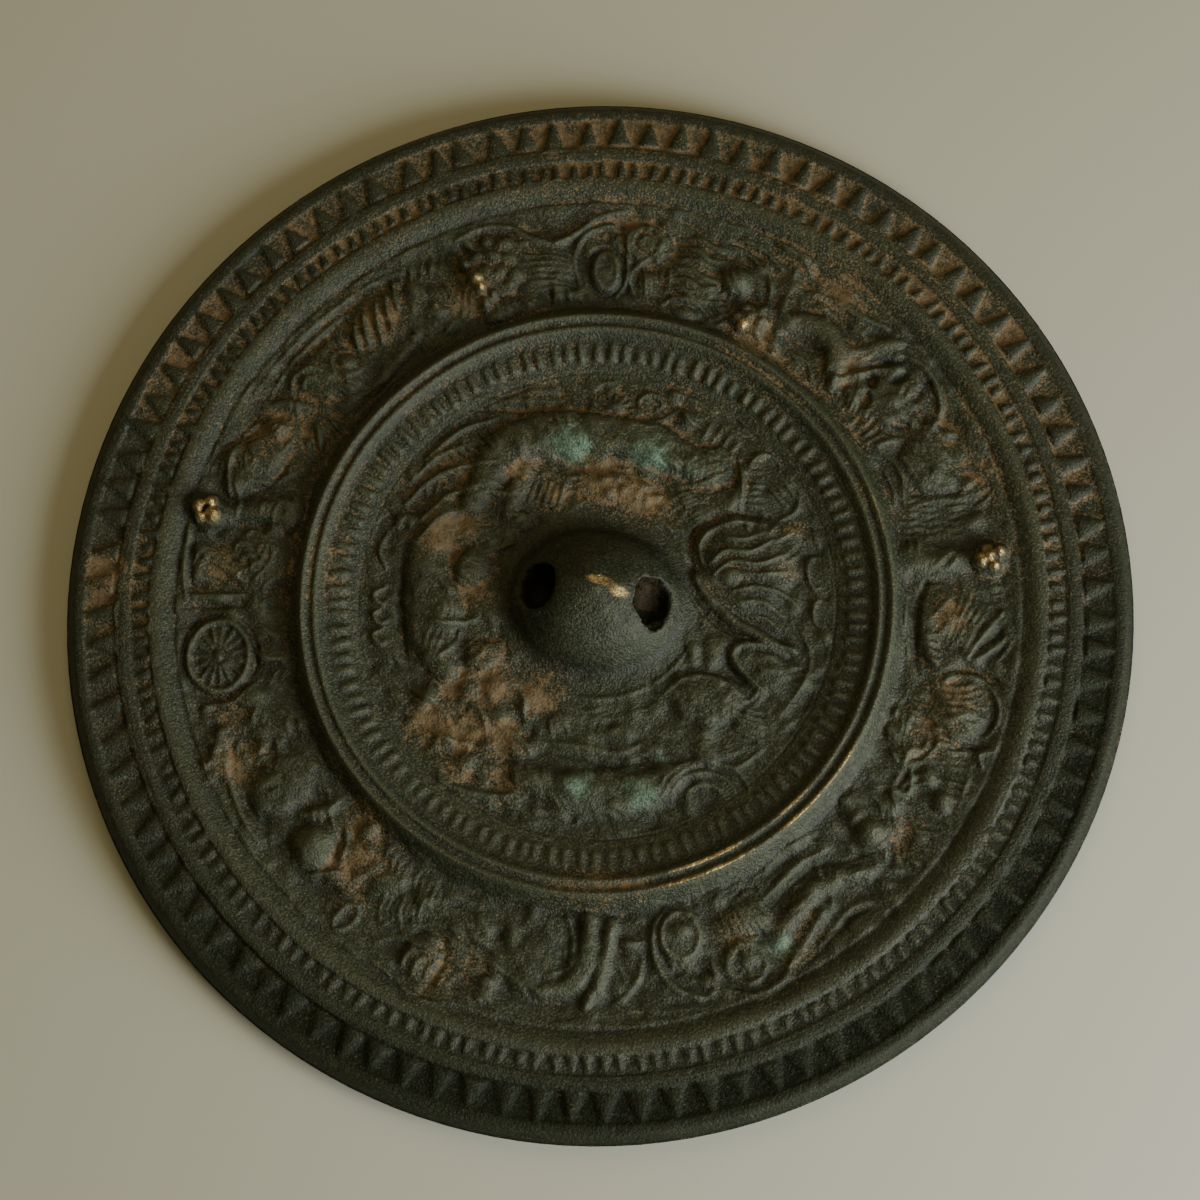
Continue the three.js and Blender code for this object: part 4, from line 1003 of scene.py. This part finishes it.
def patina_layers():
    """Where the bronze is tan, green, worn bright or dark, and where shade and glints are painted, from its
    place and its relief.
    """
    near = surface - soften(surface, 0.9)
    wide = surface - soften(surface, 2.4)
    crest = np.clip(near * 2.6 + wide * 0.5, -1, 1)
    upper = ramp(np.cos(np.radians(ANGLE - 92)), -0.75, 0.9)[None, :]
    hollow = np.clip(-near * 3.2, 0, 1)
    # Tan in the hollows and a thin tan wash, both stronger towards the top.
    tan_in_hollows_more_at_top = hollow * (0.25 + 0.6 * upper) + 0.16 * upper
    cloud = 0.5 + 0.5 * grain(5.0)
    # Tan over the rim, stronger towards the top and in its hollows.
    rim_tan_more_at_top = 0.3 * zone(81, 97, 1.0) * ramp(np.cos(np.radians(ANGLE - 95)), -0.5, 0.8)[None, :]
    patches = spots(TAN_SPOTS) * (0.74 + 0.3 * grain(1.4) + 0.25 * np.clip(-near * 3, -1, 1))
    patches = patches * (1 + 0.25 * (RINGS < 50))[:, None]
    rim_tan_more_at_top = rim_tan_more_at_top * (0.75 + 0.6 * grain(3.0)) * np.clip(0.9 - near * 4, 0.1, 1.4)
    tan = (tan_in_hollows_more_at_top * cloud + rim_tan_more_at_top) * (RINGS > 19)[:, None] + patches
    green = spots(GREEN_SPOTS) * (0.8 + 0.3 * grain(1.2)) + 0.22 * np.clip(grain(4.0) - 0.3, 0, 1)
    wear_and_painted_glint = spots(WEAR_SPOTS) * np.clip(0.35 + 1.6 * near + 0.3 * wide, 0, 1)
    # Brass on the ridge crests: a little wear all round, and a painted glint that grows on the side facing
    # the window light.
    ridge_wear_and_painted_glint = zone(52.5, 53.3, 0.15) + zone(54.8, 55.6, 0.15)
    painted_glint_side = ramp(np.cos(np.radians(ANGLE - 318)), -0.2, 0.9)[None, :]
    wear_and_painted_glint = wear_and_painted_glint + ridge_wear_and_painted_glint * (0.1 + 0.62 * painted_glint_side) * np.clip(0.6 + 0.5 * grain(3.0), 0, 1)
    low_side = ramp(np.cos(np.radians(ANGLE - 288)), -0.25, 0.7)[None, :]
    # Painted shade darkens the lower part of the rim; the outermost edge is also darker all round.
    dark_patina_and_painted_shade = zone(89, 101, 9.0) * low_side + 0.6 * zone(96.5, 101, 0.6) * (1 - low_side)
    # Dark patina on the raised teeth.
    dark_patina_and_painted_shade = dark_patina_and_painted_shade + 0.6 * zone(83.5, 96.5) * np.clip(near * 5, 0, 1) * (1 - low_side)
    # Painted shade over the knob, except its lower side, which faces the light.
    dark_patina_and_painted_shade = dark_patina_and_painted_shade + 0.45 * (1 - ramp(RINGS, 12, 19))[:, None] * (1 - low_side)
    return {"tan": tan, "green": green, "wear_and_painted_glint": wear_and_painted_glint, "crest": crest, "dark_patina_and_painted_shade": dark_patina_and_painted_shade}


def paint(mirror):
    """Stores the patina, the painted shade and the painted glints on the points of the finished mesh."""
    mesh = mirror.data
    points = np.empty(len(mesh.vertices) * 3, np.float32)
    mesh.vertices.foreach_get("co", points)
    x, y, z = points.reshape(-1, 3).astype(float).T / METRE
    radius, angle = np.hypot(x, y), np.arctan2(y, x)
    under = z < (face_height(radius) + 0.25)
    height = sample(surface, radius, angle)
    inside = (radius < KNOB_RADIUS) & (z < height - 0.35) & ~under
    for name, layer in patina_layers().items():
        value = sample(layer, radius, angle)
        value = np.where(under, 0.25 if name == "tan" else 0.0, value)
        if name == "wear_and_painted_glint":
            value = value + crown_wear_and_painted_glint(x, y) * ~inside * ~under
        if name == "tan":
            # Earth is packed only in the broken mouth of the cord hole.
            value = np.where(inside, np.where((x > 0) & (x < 11.5) & (y > -1), 0.7, 0.05), value)
        store(mesh, name, value)
    # Painted shade, over some packed dirt, darkens the inside of the cord hole.
    store(mesh, "hole_dirt_and_painted_shade", inside.astype(float))


def crown_wear_and_painted_glint(x, y):
    """The brassy spot that cord and fingers wore on top of the knob, and a painted highlight on the bright
    edge beside it.
    """
    spot = np.exp(-(((x - 0.6) / 2.6) ** 2 + ((y - 1.6) / 1.0) ** 2))
    # A painted highlight on the crest's lit edge.
    edge = np.exp(-(((x - 4.6) / 2.4) ** 2 + ((y + 0.2) / 1.3) ** 2))
    return 1.2 * spot + 0.9 * edge


def store(mesh, name, value):
    """Keeps one number for each point of the mesh, for the material to read."""
    attribute = mesh.attributes.new(name, "FLOAT", "POINT")
    attribute.data.foreach_set("value", value.astype(np.float32))


# ---- materials -------------------------------------------------------------

def linear(code):
    """An sRGB hex colour as linear red, green, blue and alpha."""
    parts = [int(code[i:i + 2], 16) / 255 for i in (1, 3, 5)]
    return (*[c / 12.92 if c <= 0.04045 else ((c + 0.055) / 1.055) ** 2.4 for c in parts], 1.0)


def add(tree, kind, links=None, **settings):
    """Adds one node. Links sets its sockets, each from a value or from another node's socket."""
    node = tree.nodes.new(kind)
    for key, value in settings.items():
        setattr(node, key, value)
    for key, value in (links or {}).items():
        if isinstance(value, bpy.types.NodeSocket):
            tree.links.new(value, node.inputs[key])
        else:
            node.inputs[key].default_value = value
    return node


def new_material(name):
    material = bpy.data.materials.new(name)
    material.use_nodes = True
    tree = material.node_tree
    tree.nodes.clear()
    return material, tree


def per_metre(size):
    """Noise scale for features of this many millimetres."""
    return 1.0 / (size * METRE)


def cast_bronze_patina():
    """High-tin bronze, sand cast and long buried: a dark blackish-green skin with a dull wax sheen, tan
    earth corrosion that fills the hollows, pale verdigris, bare brassy metal where worn, painted glints of
    brass, and painted shade on the lower rim, the knob and in the cord hole."""
    material, tree = new_material("cast_bronze_patina")
    place = add(tree, "ShaderNodeTexCoord").outputs["Object"]

    def mask(name):
        return add(tree, "ShaderNodeAttribute", attribute_name=name).outputs["Fac"]

    def noise(size, detail=4.0, rough=0.6):
        links = {"Vector": place, "Scale": per_metre(size), "Detail": detail, "Roughness": rough}
        return add(tree, "ShaderNodeTexNoise", links).outputs["Fac"]

    def maths(operation, a, b, c=0.0):
        return add(tree, "ShaderNodeMath", {0: a, 1: b, 2: c}, operation=operation).outputs[0]

    def spread(value, low, high, to_low=0.0, to_high=1.0):
        links = {0: value, 1: low, 2: high, 3: to_low, 4: to_high}
        return add(tree, "ShaderNodeMapRange", links, interpolation_type="SMOOTHSTEP").outputs[0]

    def mix(factor, a, b):
        node = add(tree, "ShaderNodeMix", {0: factor, 6: a, 7: b}, data_type="RGBA")
        return node.outputs[2]

    tan, green, wear_and_painted_glint, crest = mask("tan"), mask("green"), mask("wear_and_painted_glint"), mask("crest")
    hole_dirt_and_painted_shade, dark_patina_and_painted_shade = mask("hole_dirt_and_painted_shade"), mask("dark_patina_and_painted_shade")
    coarse, medium, fine = noise(7.0), noise(1.7), noise(0.45, 3.0, 0.7)

    skin = mix(spread(coarse, 0.3, 0.7), linear("#1e2817"), linear("#2c3622"))
    skin = mix(spread(medium, 0.42, 0.7, 0.0, 0.55), skin, linear("#3e4531"))
    skin = mix(spread(fine, 0.5, 0.66, 0.0, 0.6), skin, linear("#5f604b"))
    skin = mix(spread(fine, 0.34, 0.5, 0.65, 0.0), skin, linear("#141a0e"))
    # The skin is lighter on crests, a painted highlight, and darker in hollows, painted shade.
    skin = mix(spread(crest, 0.05, 0.8, 0.0, 0.4), skin, linear("#505541"))
    skin = mix(spread(crest, -0.7, -0.1, 0.5, 0.0), skin, linear("#181d13"))
    # Painted shade on the lower rim and the knob, with dark patina on the teeth and the outer edge.
    skin = mix(maths("MULTIPLY", dark_patina_and_painted_shade, 0.8), skin, linear("#0d120a"))

    speckle = maths("ADD", maths("MULTIPLY", medium, 0.35), maths("MULTIPLY", fine, 0.65))
    tan_cover = spread(maths("ADD", tan, maths("MULTIPLY", speckle, 2.6)), 1.5, 2.15, 0.0, 0.8)
    tan_colour = mix(spread(medium, 0.35, 0.65), linear("#5e5238"), linear("#7c6848"))
    tan_colour = mix(spread(fine, 0.5, 0.75, 0.0, 0.6), tan_colour, linear("#9b8560"))
    colour = mix(tan_cover, skin, tan_colour)

    green_cover = spread(maths("ADD", green, maths("MULTIPLY", medium, 0.6)), 0.58, 1.15, 0.0, 0.8)
    green_colour = mix(spread(fine, 0.3, 0.7), linear("#3f5a48"), linear("#6d8a76"))
    colour = mix(green_cover, colour, green_colour)

    # Brassy metal where worn, with painted glints on the ridge crests and the knob's crest.
    metal_cover = spread(maths("ADD", wear_and_painted_glint, maths("MULTIPLY", speckle, 0.5)), 0.62, 1.05)
    metal_colour = mix(spread(medium, 0.35, 0.7), linear("#85734c"), linear("#cdb98a"))
    colour = mix(metal_cover, colour, metal_colour)
    # Painted shade, over some packed dirt, darkens the inside of the cord hole.
    colour = mix(maths("MULTIPLY", hole_dirt_and_painted_shade, 0.75), colour, linear("#0d0c09"))

    metallic = spread(metal_cover, 0.0, 1.0, 0.15, 0.9)
    rough = spread(fine, 0.35, 0.65, 0.42, 0.62)
    rough = maths("MAXIMUM", rough, spread(tan_cover, 0.0, 0.8, 0.0, 0.78))
    rough = maths("MULTIPLY", rough, spread(metal_cover, 0.0, 1.0, 1.0, 0.7))

    # Less specular shine where shade is painted and in the cord hole.
    shine = spread(maths("MAXIMUM", dark_patina_and_painted_shade, hole_dirt_and_painted_shade), 0.0, 1.0, 0.5, 0.12)
    relief = maths("ADD", maths("MULTIPLY", fine, 0.5), maths("MULTIPLY", noise(0.9, 2.0), 0.5))
    bump = add(tree, "ShaderNodeBump", {"Height": relief, "Strength": 1.0, "Distance": 0.4 * METRE})
    shader = add(tree, "ShaderNodeBsdfPrincipled", {
        "Base Color": colour, "Metallic": metallic, "Roughness": rough,
        "Normal": bump.outputs["Normal"], "Specular IOR Level": shine})
    out = add(tree, "ShaderNodeOutputMaterial")
    tree.links.new(shader.outputs["BSDF"], out.inputs["Surface"])
    return material


def matt_board():
    """Smooth pale grey painted board, for the floor."""
    material, tree = new_material("matt_board")
    shader = add(tree, "ShaderNodeBsdfPrincipled", {"Base Color": linear("#bdc0b0"), "Roughness": 0.75})
    out = add(tree, "ShaderNodeOutputMaterial")
    tree.links.new(shader.outputs["BSDF"], out.inputs["Surface"])
    return material


# ---- the mirror ------------------------------------------------------------

mirror = casting()
paint(mirror)
mirror.data.materials.clear()
mirror.data.materials.append(cast_bronze_patina())
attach(mirror, "root")
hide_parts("mirror")


# ---- floor, lights and camera ------------------------------------------------

def floor():
    half = 1500.0
    points = np.array([(-half, -half, 0), (half, -half, 0), (half, half, 0), (-half, half, 0)])
    thing = mesh_from("floor", points, np.array([[0, 1, 2, 3]]), np.zeros((0, 3), int))
    thing.data.materials.append(matt_board())


def aimed(thing, position, target, roll=0.0):
    back = (Vector(position) - Vector(target)).normalized()
    look = (-back).to_track_quat("-Z", "Y").to_matrix().to_4x4()
    thing.matrix_world = Matrix.Translation(position) @ look @ Matrix.Rotation(roll, 4, "Z")
    bpy.context.scene.collection.objects.link(thing)


def round_the_mirror(bearing, elevation, distance):
    """A place at this bearing from +X, angle above the floor and distance from the middle, in metres."""
    a, e = math.radians(bearing), math.radians(elevation)
    return Vector((math.cos(a) * math.cos(e), math.sin(a) * math.cos(e), math.sin(e))) * distance * METRE


def soft_light(name, bearing, elevation, distance, size, power, colour):
    light = bpy.data.lights.new(name, "AREA")
    light.size = size * METRE
    light.energy = power
    light.color = linear(colour)[:3]
    aimed(bpy.data.objects.new(name, light), round_the_mirror(bearing, elevation, distance), (0, 0, 0))


def lights():
    soft_light("window", bearing=-26, elevation=23, distance=600, size=340, power=5.6, colour="#fcfcfa")
    soft_light("ceiling", bearing=107, elevation=54, distance=1300, size=900, power=3.4, colour="#ffe6b4")
    world = bpy.data.worlds.new("room")
    world.use_nodes = True
    background = world.node_tree.nodes["Background"]
    background.inputs["Color"].default_value = linear("#ffe7a4")
    background.inputs["Strength"].default_value = 0.14
    bpy.context.scene.world = world


def camera():
    """Looks down from the near side, 13 degrees off straight down, a little turned."""
    lens = bpy.data.cameras.new("camera")
    lens.lens = 77.0
    lens.sensor_width = 36.0
    lens.clip_start, lens.clip_end = 0.01, 20.0
    thing = bpy.data.objects.new("camera", lens)
    target = Vector((0.7, 0.1, 5)) * METRE
    away = round_the_mirror(bearing=-73, elevation=76.6, distance=480)
    aimed(thing, target + away, target, roll=math.radians(-9))
    bpy.context.scene.camera = thing


floor()
lights()
camera()
